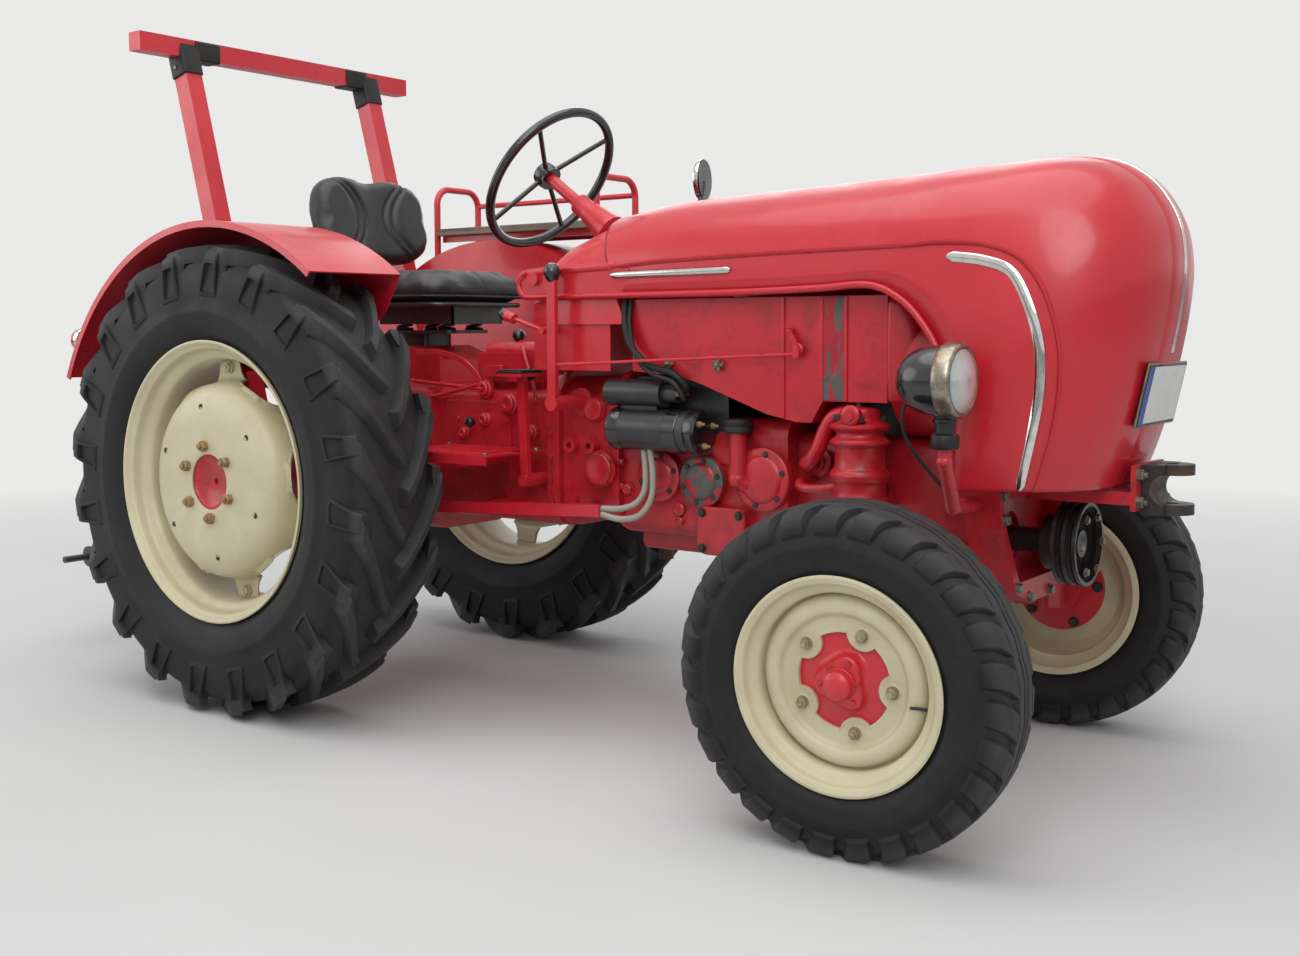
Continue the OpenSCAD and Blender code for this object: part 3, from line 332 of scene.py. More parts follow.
def piece(name, data, material, body="chassis", smooth=30, bevel=0.0):
    """A mesh piece from (verts, faces) whose corners are already in the row frame."""
    mesh = bpy.data.meshes.new(name)
    mesh.from_pydata([tuple(v) for v in data[0]], [], data[1])
    mesh.validate()
    bm = bmesh.new()
    bm.from_mesh(mesh)
    bmesh.ops.recalc_face_normals(bm, faces=bm.faces)
    bm.to_mesh(mesh)
    bm.free()
    obj = bpy.data.objects.new(name, mesh)
    scene.collection.objects.link(obj)
    obj.data.materials.append(material)
    if bevel:
        mod = obj.modifiers.new("edges", "BEVEL")
        mod.width, mod.segments, mod.limit_method, mod.angle_limit = bevel, 2, "ANGLE", radians(35)
    if smooth:
        for p in mesh.polygons:
            p.use_smooth = True
        mesh.set_sharp_from_angle(angle=radians(smooth))
    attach(obj, body)
    return obj


def thicken(obj, thickness):
    """Gives a sheet its thickness on its inner side."""
    sheet = obj.modifiers.new("sheet", "SOLIDIFY")
    sheet.thickness, sheet.offset = thickness, -1


def joined(parts):
    """One list of corners and faces from several (verts, faces) pairs."""
    verts, faces = [], []
    for v, f in parts:
        base = len(verts)
        verts += v
        faces += [[base + i for i in face] for face in f]
    return verts, faces


def turned(profile, matrix, steps=48, closed=False):
    """A body of revolution about local Z from (radius, height) pairs, through the matrix."""
    verts, faces = [], []
    n = len(profile)
    for k in range(steps):
        a = 2 * pi * k / steps
        verts += [matrix @ Vector((mm(r) * cos(a), mm(r) * sin(a), mm(z))) for r, z in profile]
    for k in range(steps):
        q = (k + 1) % steps
        for i in range(n if closed else n - 1):
            j = (i + 1) % n
            faces.append([k * n + i, k * n + j, q * n + j, q * n + i])
    if not closed:
        faces.append([k * n for k in range(steps)][::-1])
        faces.append([k * n + n - 1 for k in range(steps)])
    return verts, faces


def wheel_grid(rows, m, closed=False):
    """A skin round local Z: rows is one list of (radius, height) pairs for each of many even angles."""
    steps, n = len(rows), len(rows[0])
    verts, faces = [], []
    for k, row in enumerate(rows):
        a = 2 * pi * k / steps
        verts += [m @ Vector((mm(r) * cos(a), mm(r) * sin(a), mm(z))) for r, z in row]
        q = (k + 1) % steps
        faces += [[k * n + i, k * n + (i + 1) % n, q * n + (i + 1) % n, q * n + i]
                for i in range(n if closed else n - 1)]
    return verts, faces


def strips(rows):
    """Faces between equal rows of corners, with both ends capped."""
    n = len(rows[0])
    faces = [[k * n + j, k * n + (j + 1) % n, (k + 1) * n + (j + 1) % n, (k + 1) * n + j]
             for k in range(len(rows) - 1) for j in range(n)]
    faces += [list(range(n)), list(range((len(rows) - 1) * n, len(rows) * n))[::-1]]
    return [p for row in rows for p in row], faces


def open_grid(rows):
    """A sheet through equal rows of corners."""
    n = len(rows[0])
    return [p for row in rows for p in row], [[k * n + j, k * n + j + 1, (k + 1) * n + j + 1, (k + 1) * n + j]
                                              for k in range(len(rows) - 1) for j in range(n - 1)]


def box(low, high, matrix=FLAT):
    """A box between two corners in millimetres."""
    verts = [matrix @ Vector((mm(x), mm(y), mm(z)))
             for x in (low[0], high[0]) for y in (low[1], high[1]) for z in (low[2], high[2])]
    return verts, [[0, 1, 3, 2], [4, 6, 7, 5], [0, 4, 5, 1], [2, 3, 7, 6], [0, 2, 6, 4], [1, 5, 7, 3]]


def outline_round(x0, y0, x1, y1, r, steps=8):
    pts = []
    for cx, cy, a0 in ((x1 - r, y1 - r, 0), (x0 + r, y1 - r, 90), (x0 + r, y0 + r, 180), (x1 - r, y0 + r, 270)):
        pts += [(cx + r * cos(radians(a0 + 90 * k / steps)), cy + r * sin(radians(a0 + 90 * k / steps)))
                for k in range(steps + 1)]
    return pts


def prism(outline, z0, z1, matrix):
    n = len(outline)
    verts = [matrix @ Vector((mm(x), mm(y), mm(z0))) for x, y in outline] + [matrix @ Vector((mm(x), mm(y), mm(z1)))
            for x, y in outline]
    faces = [list(range(n))[::-1], list(range(n, 2 * n))] + [[i, (i + 1) % n, n + (i + 1) % n, n + i]
            for i in range(n)]
    return verts, faces


def aimed(point, direction):
    """A matrix whose Z points along direction from point."""
    return Matrix.Translation(point) @ Vector(direction).to_track_quat("Z", "Y").to_matrix().to_4x4()


def bolt_mesh(point, direction, flats=17.0, height=8.0, washer=True, stud=0.0, turn=0.0):
    """A hexagon head with a chamfer, on its washer, with a stud through a nut."""
    m = aimed(point, direction) @ Matrix.Rotation(turn, 4, "Z")
    r = flats / sqrt(3)
    parts = []
    if washer:
        parts.append(turned([(r * 1.25, -1), (r * 1.25, 1.6), (r * 0.5, 1.6)], m, 16))
    parts.append(turned([(r, 0), (r, height - r * 0.12), (r * 0.88, height)], m, 6))
    if stud:
        parts.append(turned([(r * 0.5, 0), (r * 0.5, height + stud), (r * 0.42, height + stud + 1.2)], m, 12))
    return joined(parts)


def bolts(name, places, material, body="chassis", **shape):
    """One piece of many bolts: each place is (point, direction)."""
    rng = random.Random(name)
    heads = [bolt_mesh(p, d, turn=rng.random() * 1.05, **shape) for p, d in places]
    piece(name, joined(heads), material, body, smooth=25)


def curve_points(points, per=8, cyclic=False):
    """Catmull-Rom points through the given ones."""
    n = len(points)
    out = []
    for i in range(n if cyclic else n - 1):
        a, b, c, d = (points[(i + k) % n] if cyclic else points[min(max(i + k, 0), n - 1)] for k in (-1, 0, 1, 2))
        for q in range(per):
            u = q / per
            out.append(0.5 * (2 * b + (c - a) * u + (2 * a - 5 * b + 4 * c - d) * u * u + (3 * b - a - 3 * c + d) * u
                    ** 3))
    if not cyclic:
        out.append(points[-1])
    return out


def swept(points, section, cyclic=False, up=(0, 0, 1)):
    """A closed section, (side, up) pairs or one list of them per point, carried along points with caps."""
    verts, faces = [], []
    n = len(points)
    m = len(section) if not isinstance(section[0], list) else len(section[0])
    frame_up = Vector(up)
    for i, p in enumerate(points):
        q = points[(i + 1) % n] if cyclic else points[min(i + 1, n - 1)]
        o = points[(i - 1) % n] if cyclic else points[max(i - 1, 0)]
        d = (q - o).normalized()
        side = d.cross(frame_up).normalized()
        frame_up = side.cross(d).normalized()
        rows = section[i] if isinstance(section[0], list) else section
        verts += [p + side * mm(s) + frame_up * mm(t) for s, t in rows]
    for i in range(n if cyclic else n - 1):
        j = (i + 1) % n
        faces += [[i * m + k, i * m + (k + 1) % m, j * m + (k + 1) % m, j * m + k] for k in range(m)]
    if not cyclic:
        faces += [list(range(m)), list(range((n - 1) * m, n * m))[::-1]]
    return verts, faces


def ring(radius, sides=12, flat=1.0):
    """A round section, or a flattened one."""
    return [(radius * cos(2 * pi * k / sides), flat * radius * sin(2 * pi * k / sides)) for k in range(sides)]


def hose(name, points, radius, material, sides=12):
    """A round hose through places in millimetres."""
    path = curve_points([at(*p) for p in points])
    up = (0, 0, 1) if abs((path[1] - path[0]).normalized().z) < 0.9 else (1, 0, 0)
    piece(name, swept(path, ring(radius, sides), up=up), material, smooth=60)


def rod(points, radius, sides, per):
    """A round bar on a smooth line through places in millimetres."""
    return swept(curve_points([at(*p) for p in points], per), ring(radius, sides))


def disc_holes(centre, normal, radius, count, start=0.0):
    """Evenly spaced (point, direction) places on a circle."""
    m = aimed(centre, normal)
    return [(m @ Vector((mm(radius) * cos(start + 2 * pi * k / count),
                         mm(radius) * sin(start + 2 * pi * k / count), 0)), normal) for k in range(count)]


# Camera, light and floor

def make_camera():
    """The view of the photograph: place, turns and focal length of its camera."""
    yaw, pitch, roll, tilt, focal = -0.63614, 0.079167, 0.0025291, radians(0.455), 1411.98
    ahead = Vector((sin(yaw) * cos(pitch), cos(yaw) * cos(pitch), -sin(pitch)))
    right = Vector((cos(yaw), -sin(yaw), 0))
    up = right.cross(ahead)
    right, up = right * cos(roll) + up * sin(roll), up * cos(roll) - right * sin(roll)
    turn = Matrix.Rotation(tilt, 3, "Y")
    right, up, ahead = turn @ right, turn @ up, turn @ ahead
    data = bpy.data.cameras.new("camera")
    data.sensor_width, data.lens = 36.0, focal / 1300 * 36.0
    data.shift_y = -45 / 1300
    camera = bpy.data.objects.new("camera", data)
    m = Matrix((right, up, -ahead)).transposed().to_4x4()
    m.translation = Vector((2.5901, -3.0475, 1.0509))
    camera.matrix_world = m
    scene.collection.objects.link(camera)
    scene.camera = camera


BACKDROP = (0.82, 0.82, 0.81, 1)


def pale(tree, lit, strength=1.0, colour=BACKDROP):
    """Shows a plain pale colour to the camera, metal and glass, and the lit shader to the rest."""
    path = tree.nodes.new("ShaderNodeLightPath")
    most = None
    for name in ("Is Camera Ray", "Is Glossy Ray", "Is Transmission Ray"):
        if most is None:
            most = path.outputs[name]
            continue
        node = tree.nodes.new("ShaderNodeMath")
        node.operation = "MAXIMUM"
        tree.links.new(most, node.inputs[0])
        tree.links.new(path.outputs[name], node.inputs[1])
        most = node.outputs[0]
    seen = tree.nodes.new("ShaderNodeBackground")
    seen.inputs["Color"].default_value = colour
    seen.inputs["Strength"].default_value = strength
    blend = tree.nodes.new("ShaderNodeMixShader")
    tree.links.new(most, blend.inputs[0])
    tree.links.new(lit, blend.inputs[1])
    tree.links.new(seen.outputs[0], blend.inputs[2])
    return blend.outputs[0]


def make_floor():
    """A pale floor that keeps the object's shadow and fades into the backdrop away from it."""
    mesh = bpy.data.meshes.new("floor")
    r = 80
    mesh.from_pydata([(-r, -r, 0), (r, -r, 0), (r, r, 0), (-r, r, 0)], [], [[0, 1, 2, 3]])
    floor = bpy.data.objects.new("floor", mesh)
    scene.collection.objects.link(floor)
    s = Shader("floor")
    shade = s.mix(s.ramp(s.noise(0.8, 4), 0.3, 0.7), (0.60, 0.60, 0.59, 1), (0.63, 0.63, 0.62, 1))
    s.set(Base_Color=shade, Roughness=0.9, Specular_IOR_Level=0.05)
    away = s.add("ShaderNodeVectorMath", {0: s.coords}, operation="LENGTH").outputs["Value"]
    seen = s.add("ShaderNodeLightPath").outputs["Is Camera Ray"]
    plain = s.add("ShaderNodeEmission", {"Color": BACKDROP, "Strength": 1.0})
    blend = s.add("ShaderNodeMixShader", {0: s.math("MULTIPLY", s.ramp(away, 2.2, 6.5), seen)})
    s.tree.links.new(s.bsdf.outputs[0], blend.inputs[1])
    s.tree.links.new(plain.outputs[0], blend.inputs[2])
    s.tree.links.new(blend.outputs[0], s.tree.nodes["Material Output"].inputs["Surface"])
    floor.data.materials.append(s.material)


def make_stage():
    world = bpy.data.worlds.new("studio")
    scene.world = world
    world.use_nodes = True
    tree = world.node_tree
    light = tree.nodes["Background"]
    light.inputs["Color"].default_value = (0.94, 0.97, 1.0, 1)
    light.inputs["Strength"].default_value = 0.5
    tree.links.new(pale(tree, light.outputs[0]), tree.nodes["World Output"].inputs["Surface"])
    make_floor()
    # Name, place, target, size and power of each lamp
    for name, place, target, size, power in (
            ("sky", (0.6, -1.2, 6.4), (0.1, 0, 0.6), 7.5, 250),
            ("key", (3.6, -4.8, 4.4), (0.2, 0, 0.8), 4.0, 130),
            ("fill", (-4.4, -3.4, 2.6), (-0.4, 0, 0.8), 4.0, 60),
            ("back", (-2.0, 5.0, 3.6), (0, 0, 0.9), 5.0, 60)):
        lamp = bpy.data.lights.new(name, "AREA")
        lamp.shape, lamp.size, lamp.energy = "DISK", size, power
        obj = bpy.data.objects.new(name, lamp)
        obj.location = place
        obj.rotation_euler = (Vector(target) - Vector(place)).to_track_quat("-Z", "Y").to_euler()
        scene.collection.objects.link(obj)
    scene.view_settings.view_transform = "Standard"


make_camera()
make_stage()


# Wheels

REAR = dict(d=1280, w=295, track=1180, rim_d=766, lugs=20, lug_h=34)
FRONT = dict(d=714, w=165, track=1196, rim_d=443)
# Half the rear hoop's width, and the height of its disc's face above the wheel's middle
REAR_HALF_RIM, REAR_FACE = 127, 119
SIDES = ((-1, "right"), (1, "left"))
KINGPIN_Y, CAMBER, REST_STEER, WHEELBASE = 500, radians(2.84), radians(4.4), 1880


def rear_frame(side):
    """Local Z is the axle and points outward."""
    return placed(0, side * REAR["track"] / 2, REAR_Z, -90 * side, "X")


def front_frame(side):
    reach = FRONT["track"] / 2 - KINGPIN_Y
    return (placed(WHEELBASE, side * KINGPIN_Y, 0) @ Matrix.Rotation(REST_STEER, 4, "Z")
            @ Matrix.Translation((0, mm(side * reach), mm(FRONT_Z))) @ Matrix.Rotation(-side * CAMBER, 4, "X")
            @ Matrix.Rotation(-side * pi / 2, 4, "X"))


def tread_point(m, angle, out, across, along):
    """A corner of the tread: out and across from the axle at an angle, and along the axle."""
    c, s = cos(angle), sin(angle)
    return m @ Vector((mm(out * c - across * s), mm(out * s + across * c), mm(along)))


def rear_tyre(side, name):
    r, half = REAR["d"] / 2, REAR["w"] / 2
    body = r - REAR["lug_h"]
    bead = REAR["rim_d"] / 2 - 12.5
    m = rear_frame(side)
    out = [(bead, 107.5), (bead + 6, 112), (bead + 16, 118), (bead + 22, 121), (bead + 30, 128), (bead + 62, 141),
            (bead + 78, 142.5), (bead + 84, 144.4), (bead + 92, 144.4), (bead + 98, 142.5), (bead + 128, 139),
            (body - 40, 136), (body - 22, 128), (body - 8, 108), (body - 1, 72), (body, 30)]
    profile = out + [(a, -b) for a, b in reversed(out)] + [(bead - 1, -60), (bead - 1, 60)]
    parts = [turned(profile, m, 160, closed=True)]
    # Stations of a lug: share of the half width, turn, height lost to the crown, half thickness at its top
    stations = [(0.02, -1.0, 0, 18), (0.16, 1.0, 0, 18), (0.40, 6.5, 1, 19), (0.62, 12.0, 3, 21), (0.80, 16.5, 6, 23),
                (0.89, 18.9, 9, 25), (0.91, 19.5, 12, 25), (0.917, 19.8, 30, 24)]
    rng = random.Random(side)
    for hand in (-1, 1):
        for i in range(REAR["lugs"]):
            turn0 = radians((i + (0.5 if hand > 0 else 0)) * 360 / REAR["lugs"])
            wear = rng.uniform(0, 0.9)
            rows = []
            for share, turn, drop, t in stations:
                a = turn0 - side * radians(turn)
                top = r - drop - wear
                low = body - 9 - (drop if share < 0.9 else 40)
                row = [(low, -t - 12), (body + 6 - drop * 0.7, -t - 5), (top - 2.5, -t), (top, -t + 2.5),
                       (top, t - 2.5), (top - 2.5, t), (body + 6 - drop * 0.7, t + 5), (low, t + 12)]
                rows.append([tread_point(m, a, q, u, hand * share * half) for q, u in row])
            parts.append(strips(rows))
            # The lug's foot on the tyre's side: two ridges that spread towards the ring, with a pocket between them
            rows = []
            for q, z, w, pocket in ((620, 134, 24, 0), (612, 141, 25, 0), (598, 144, 26, 0), (588, 144.4, 27, 0),
                    (584, 144.4, 27.5, 9), (548, 144, 31, 10), (514, 143, 35, 8), (510, 142.8, 35.5, 0),
                    (500, 141.5, 37, 0), (496, 136, 38, 0)):
                a = turn0 - side * radians(20.9 + (620 - q) * 0.012)
                ridge = 8 if pocket else w * 0.5
                rows.append([tread_point(m, a, q, u, hand * zz) for u, zz in (
                    (-w - 3, z - 26), (-w, z - 3), (-w + 3, z), (-w + ridge, z), (-w + ridge + 3, z - pocket),
                    (w - ridge - 3, z - pocket), (w - ridge, z), (w - 3, z), (w, z - 3), (w + 3, z - 26))])
            parts.append(strips(rows))
    centre = at(0, side * REAR["track"] / 2, REAR_Z)
    skin = rubber("rear_rubber_" + name, srgb(20, 20, 21), srgb(76, 75, 74), centre, (0, 1, 0), mm(body - 10))
    obj = piece("rear_tyre_detail_" + name, joined(parts), skin, "rear_wheel_" + name, smooth=32)
    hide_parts("rear_tyre_" + name)


def front_tyre(side, name):
    r, h = FRONT["d"] / 2, FRONT["w"] / 2
    b = FRONT["rim_d"] / 2 - 13
    m = front_frame(side)
    count = 27
    step = 2 * pi / count
    out = [(b, 54), (b + 8, 60), (b + 16, 66), (b + 26, h - 9), (b + 40, h - 3), (b + 60, h - 0.5), (b + 66, h + 1),
            (b + 72, h + 1), (b + 78, h - 2), (r - 50, h - 6), (r - 40, h - 12), (r - 28, 63), (r - 20, 54),
            (r - 15, 44), (r - 13, 37.5), (r - 3, 35.5), (r - 1.6, 34), (r - 0.8, 20), (r - 1.6, 13), (r - 11, 11.5),
            (r - 11, 7.5), (r - 1.4, 6), (r, 0)]
    profile = out + [(a, -z) for a, z in reversed(out[:-1])] + [(b - 1, -48), (b - 1, 48)]
    verts, faces = turned(profile, Matrix.Identity(4), count * 8, closed=True)
    # Rib edges run in a zigzag, one tooth for each shoulder block
    for v in verts:
        if hypot(v.x, v.y) > mm(r - 15) and abs(v.z) < mm(38):
            share = (math.atan2(v.y, v.x) / step) % 1
            v.z += mm(3.4) * (4 * abs(share - 0.5) - 1)
    parts = [([m @ v for v in verts], faces)]
    # Stations across a shoulder block: top radius, place along the axle, half width
    rows_of = ((r - 2.2, 39, 27), (r - 3.4, 50, 26.5), (r - 6, 61, 26), (r - 9, 67, 25.5), (r - 20, 76, 24),
            (r - 36, 80, 23), (r - 50, 82.3, 22), (r - 53, 81, 21.5))
    for hand in (-1, 1):
        for i in range(count):
            a0 = step * (i + (0.5 if hand > 0 else 0))
            rows = []
            for top, z, t in rows_of:
                lean = a0 + hand * 0.0022 * (z - 39)
                rows.append([tread_point(m, lean, q, u, hand * zz) for q, u, zz in ((top - 15, -t - 5, z - 8),
                        (top - 1.5, -t, z - 0.5), (top, -t + 2, z), (top, t - 2, z), (top - 1.5, t, z - 0.5),
                        (top - 15, t + 5, z - 8))])
            parts.append(strips(rows))
    axle = tuple(m.to_3x3() @ Vector((0, 0, 1)))
    skin = rubber("front_rubber_" + name, srgb(20, 20, 21), srgb(74, 73, 73), m.translation, axle, mm(r - 34))
    obj = piece("front_tyre_detail_" + name, joined(parts), skin, "front_wheel_" + name, smooth=28)
    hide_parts("front_tyre_" + name)


def smoothed(profile, per=3):
    """Catmull-Rom points through (radius, height) pairs."""
    return [(p.x, p.y) for p in curve_points([Vector((a, b, 0)) for a, b in profile], per)]


def between(table, z):
    """Radius at height z on a falling (radius, height) line."""
    for (r0, z0), (r1, z1) in zip(table, table[1:]):
        if z0 >= z >= z1:
            return r0 + (r1 - r0) * (z0 - z) / max(z0 - z1, 1e-6)
    return table[-1][0]


def rear_rim(side, name):
    """Hoop, and a pressed disc whose flank runs out into six tabs with round openings between them."""
    r, w = REAR["rim_d"] / 2, REAR_HALF_RIM
    face = REAR_FACE
    m = rear_frame(side)
    inner = smoothed([(r, w), (r - 4, w + 1.6), (r - 9, w - 1), (r - 14, w - 8), (r - 19, w - 12.5), (r - 23, w - 17),
            (r - 25, w - 27), (r - 27, w - 38), (r - 33, w - 46), (r - 43, w - 52), (r - 50, w - 60),
            (r - 53, w - 76), (r - 54, 14)])
    outer = [(r - 1.5, w - 9), (r - 16.5, w - 19), (r - 18.5, w - 43), (r - 45.5, w - 65)]
    profile = inner + [(a, -b) for a, b in reversed(inner)] + [(a, -b) for a, b in outer] + list(reversed(outer))
    face_line = smoothed([(78, 0.6), (110, 1.4), (160, 1.0), (190, 0), (208, -1.6), (226, -5.5), (241, -12),
            (253, -22), (262, -37), (268, -56)], 2)
    flank = [(268, -56), (272, -74), (274.5, -88), (276, -100)]
    deep, tab_half, tab_flare, tab_top = 48, 36, 24, 330
    steps = 288
    rows = []
    for k in range(steps):
        off = abs((k * 360 / steps - 35 + 30) % 60 - 30)
        along = 276 * radians(off)
        cut = deep * sqrt(max(0, 1 - ((30 - off) / 17) ** 2)) if off > 13 else 0
        low = -98 + cut
        row = [(75, -6), (75, -1.6), (76, 0)] + face_line[:-1]
        if low > -56:
            row = [(a, max(z, low)) for a, z in row]
        for i in range(7):
            z = -56 + (low + 10 + 56) * i / 6 if low + 10 < -56 else max(-56, low)
            row.append((between(flank, z), z))
        if along < tab_half:
            reach = tab_top
        elif along < tab_half + tab_flare:
            reach = 276 + (tab_top - 276) * (1 - sqrt((along - tab_half) / tab_flare))
        else:
            reach = 276
        edge = between(flank, max(low, -100))
        reach = max(reach, edge)
        for share, dz in ((0.0, 5), (0.05, 2), (0.15, 0.4), (0.4, 0), (0.7, 0), (0.94, 0), (1.0, -1.5)):
            row.append((edge + (reach - edge) * share, low + (dz if reach > edge + 2 else dz * 0.3)))
        rows.append(row)
    on_face = m @ Matrix.Translation((0, 0, mm(face)))
    disc = piece("rear_disc_" + name, wheel_grid(rows, on_face), RIM_PAINT, "rear_wheel_" + name, smooth=40)
    thicken(disc, 0.006)
    # Red hub plate with its dish, the drum behind it and the shaft
    parts = [turned([(118, -40), (118, -7), (73, -7), (71, -9.5), (62, -17), (52, -22), (10, -23), (8, -26), (8, -60),
            (40, -60), (40, -40)], on_face, 72, closed=True), turned([(34, -145), (34, -39)], on_face, 40)]
    piece("rear_hub_" + name, joined(parts), ENGINE_PAINT, "rear_wheel_" + name, smooth=35)
    hoop = piece("rear_hoop_" + name, turned(profile, m, 120, closed=True), RIM_PAINT, "rear_wheel_" + name,
            smooth=40)
    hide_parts("rear_rim_" + name)
    # Small dark discs on the disc's face: painted shade in place of its holes
    dark = [turned([(8.2, 0.2), (7.4, 1.2), (6.6, 0.9), (6.4, 0.3)], m @ Matrix.Rotation(radians(38 + 60 * k), 4,
            "Z") @ Matrix.Translation((mm(205), 0, mm(face - 1.3))), 20) for k in range(6)]
    piece("rear_disc_holes_" + name, joined(dark), HOSE, "rear_wheel_" + name, smooth=0)


def front_rim(side, name):
    """Hoop and dished disc, with the five-lobed opening round the red hub."""
    r, w, pad = FRONT["rim_d"] / 2, 73, 26
    m = front_frame(side)
    out = smoothed([(100, pad), (112, pad), (123, pad - 0.5), (130, pad), (134, pad + 4), (139, pad + 11),
            (147, pad + 14), (157, pad + 13.5), (166, pad + 9), (172, pad + 1), (175.5, pad - 6), (177, pad - 9),
            (178.5, pad - 6), (179, pad + 2), (181, w - 32), (188, w - 25), (197, w - 19), (201, w - 12),
            (204, w - 4), (210, w - 1), (216, w + 1.5), (r, w)], 3)
    back = [(r - 2.5, w - 10), (r - 13.5, w - 15), (r - 15.5, w - 23), (r - 38, w - 43)]
    steps = 180
    rows = []
    for k in range(steps):
        a = 2 * pi * k / steps
        near = abs((a - radians(67) + radians(36)) % radians(72) - radians(36))
        opening = 98.0
        reach = 34.0 ** 2 - (107 * sin(near)) ** 2
        if reach > 0:
            notch = 107 * cos(near) - sqrt(reach)
            opening = -math.log(exp(-opening / 5.0) + exp(-notch / 5.0)) * 5.0
        lip = [(opening, pad - 7), (opening, pad), (opening + 1.4, pad + 1.8), (opening + 4, pad + 2),
                (opening + 8, pad)]
        row = lip + [(max(q, opening + 9), z) for q, z in out]
        row += back + [(a2, -b2) for a2, b2 in reversed(back)] + [(r, -w), (r - 6, -w), (r - 17, 3 - w),
                (r - 20, 16 - w), (r - 44, 40 - w), (r - 45.5, pad - 26), (170, pad - 12), (150, pad + 5),
                (128, pad - 1), (max(118, opening + 3), pad - 8)]
        rows.append(row)
    obj = piece("front_wheel_disc_" + name, wheel_grid(rows, m, closed=True), RIM_PAINT, "front_wheel_" + name,
            smooth=40)
    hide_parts("front_rim_" + name)
    bosses = [turned([(17, -1), (16, 1.6), (14, 2.4), (10, 2.6)], m @ Matrix.Rotation(radians(67 + 72 * k), 4,
            "Z") @ Matrix.Translation((mm(104), 0, mm(pad))), 28) for k in range(5)]
    piece("front_nut_bosses_" + name, joined(bosses), RIM_PAINT, "front_wheel_" + name, smooth=50)
    rows = []
    for k in range(90):
        corner = 7.5 * cos(3 * (2 * pi * k / 90 - radians(67)))
        rows.append([(60, pad - 62), (60, pad - 22), (114, pad - 22), (114, pad - 7), (112, pad - 6), (66, pad - 6),
                (60 + corner * 0.4, pad - 4), (54 + corner * 0.8, pad + 2), (50 + corner, pad + 8),
                (49 + corner, pad + 15), (46 + corner, pad + 18), (34, pad + 19), (30, pad + 19), (30, pad + 12),
                (25.4, pad + 12), (25.4, pad - 62)])
    piece("front_hub_" + name, wheel_grid(rows, m, closed=True), BODY_PAINT, "front_wheel_" + name, smooth=35)


def on_wheel(m, radius, degrees, height):
    """A place on a wheel: radius and height along the axle in millimetres."""
    a = radians(degrees)
    return m @ Vector((mm(radius * cos(a)), mm(radius * sin(a)), mm(height)))


def wheel_fittings(side, name):
    rear, front = rear_frame(side), front_frame(side)
    rear_rim(side, name)
    front_rim(side, name)
    out = rear.to_3x3() @ Vector((0, 0, 1))
    face = REAR_FACE
    # Rear hub nuts on their studs, and the clamp bolts of the rim's six lugs
    rear_body = "rear_wheel_" + name
    places = [(on_wheel(rear, 98, 36 + 60 * k, face - 1), out) for k in range(6)]
    bolts("rear_hub_nuts_" + name, places, BRASS_NUT, rear_body, flats=26, height=19, stud=6)
    places = [(on_wheel(rear, 308, 35 + 60 * k, face - 95.5), out) for k in range(6)]
    bolts("rear_rim_bolts_" + name, places, CREAM, rear_body, flats=24, height=13, stud=4)
    # Front wheel nuts, dust cap with its ring, and the valve
    front_body = "front_wheel_" + name
    ahead = front.to_3x3() @ Vector((0, 0, 1))
    places = [(on_wheel(front, 104, 67 + 72 * k, 28.4), ahead) for k in range(5)]
    bolts("front_wheel_nuts_" + name, places, CREAM_NUT, front_body, flats=19, height=13, stud=4)
    piece("front_dust_cap_" + name, turned([(30.6, 41), (33, 44), (33, 49), (30.8, 52), (30.2, 60), (28, 66),
            (22, 71), (12, 74.4), (0.1, 75.4)], front, 40), BODY_PAINT, front_body)
    places = [(on_wheel(front, 44 if k % 2 == 0 else 37, 67 + 60 * k, 44.6), ahead) for k in range(6)]
    bolts("front_hub_bolts_" + name, places, ENGINE_PAINT, front_body, flats=11, height=5, washer=False)
    places = [(on_wheel(front, 98, 67 + 72 * k, 4.2), -ahead) for k in range(5)]
    bolts("front_stud_heads_" + name, places, DARK_IRON, front_body, flats=20, height=8)
    stem = [on_wheel(front, q, 350, z) for q, z in ((180, 33), (172, 38), (160, 44), (150, 52))]
    piece("front_valve_" + name, swept(curve_points(stem, 5), ring(3.2, 10),
            up=tuple(ahead.cross(stem[1] - stem[0]).normalized())), DARK_IRON, front_body, smooth=50)


for wheel_side, wheel_name in SIDES:
    rear_tyre(wheel_side, wheel_name)
    front_tyre(wheel_side, wheel_name)
    wheel_fittings(wheel_side, wheel_name)


# Hood

# X and Z of the centre line, X and Z of the lower edge, half width: the hood's table in the part's source
HOOD_ROWS = [(965, 1345, 1068, 1131, 285), (1160, 1372, 1190, 1131, 287), (1419, 1383, 1430, 1132, 290),
        (1690, 1393, 1640, 1137, 295), (1990, 1408, 1770, 1141, 302), (2163, 1407, 1850, 1106, 306),
        (2262, 1364, 1906, 1048, 309), (2322, 1285, 1940, 990, 312), (2342, 1198, 1958, 930, 312),
        (2338, 1104, 1958, 884, 312), (2318, 985, 1958, 836, 312), (2284, 835, 1958, 770, 312),
        (2240, 712, 1958, 712, 308)]


def hood_row(t):
    """The table's row at a share t of its length, on a Catmull-Rom curve."""
    n = len(HOOD_ROWS) - 1
    i = min(int(t), n - 1)
    u = t - i
    rows = [HOOD_ROWS[min(max(i + k, 0), n)] for k in (-1, 0, 1, 2)]
    return [0.5 * (2 * b + (c - a) * u + (2 * a - 5 * b + 4 * c - d) * u * u + (3 * b - a - 3 * c + d) * u ** 3)
            for a, b, c, d in zip(*rows)]


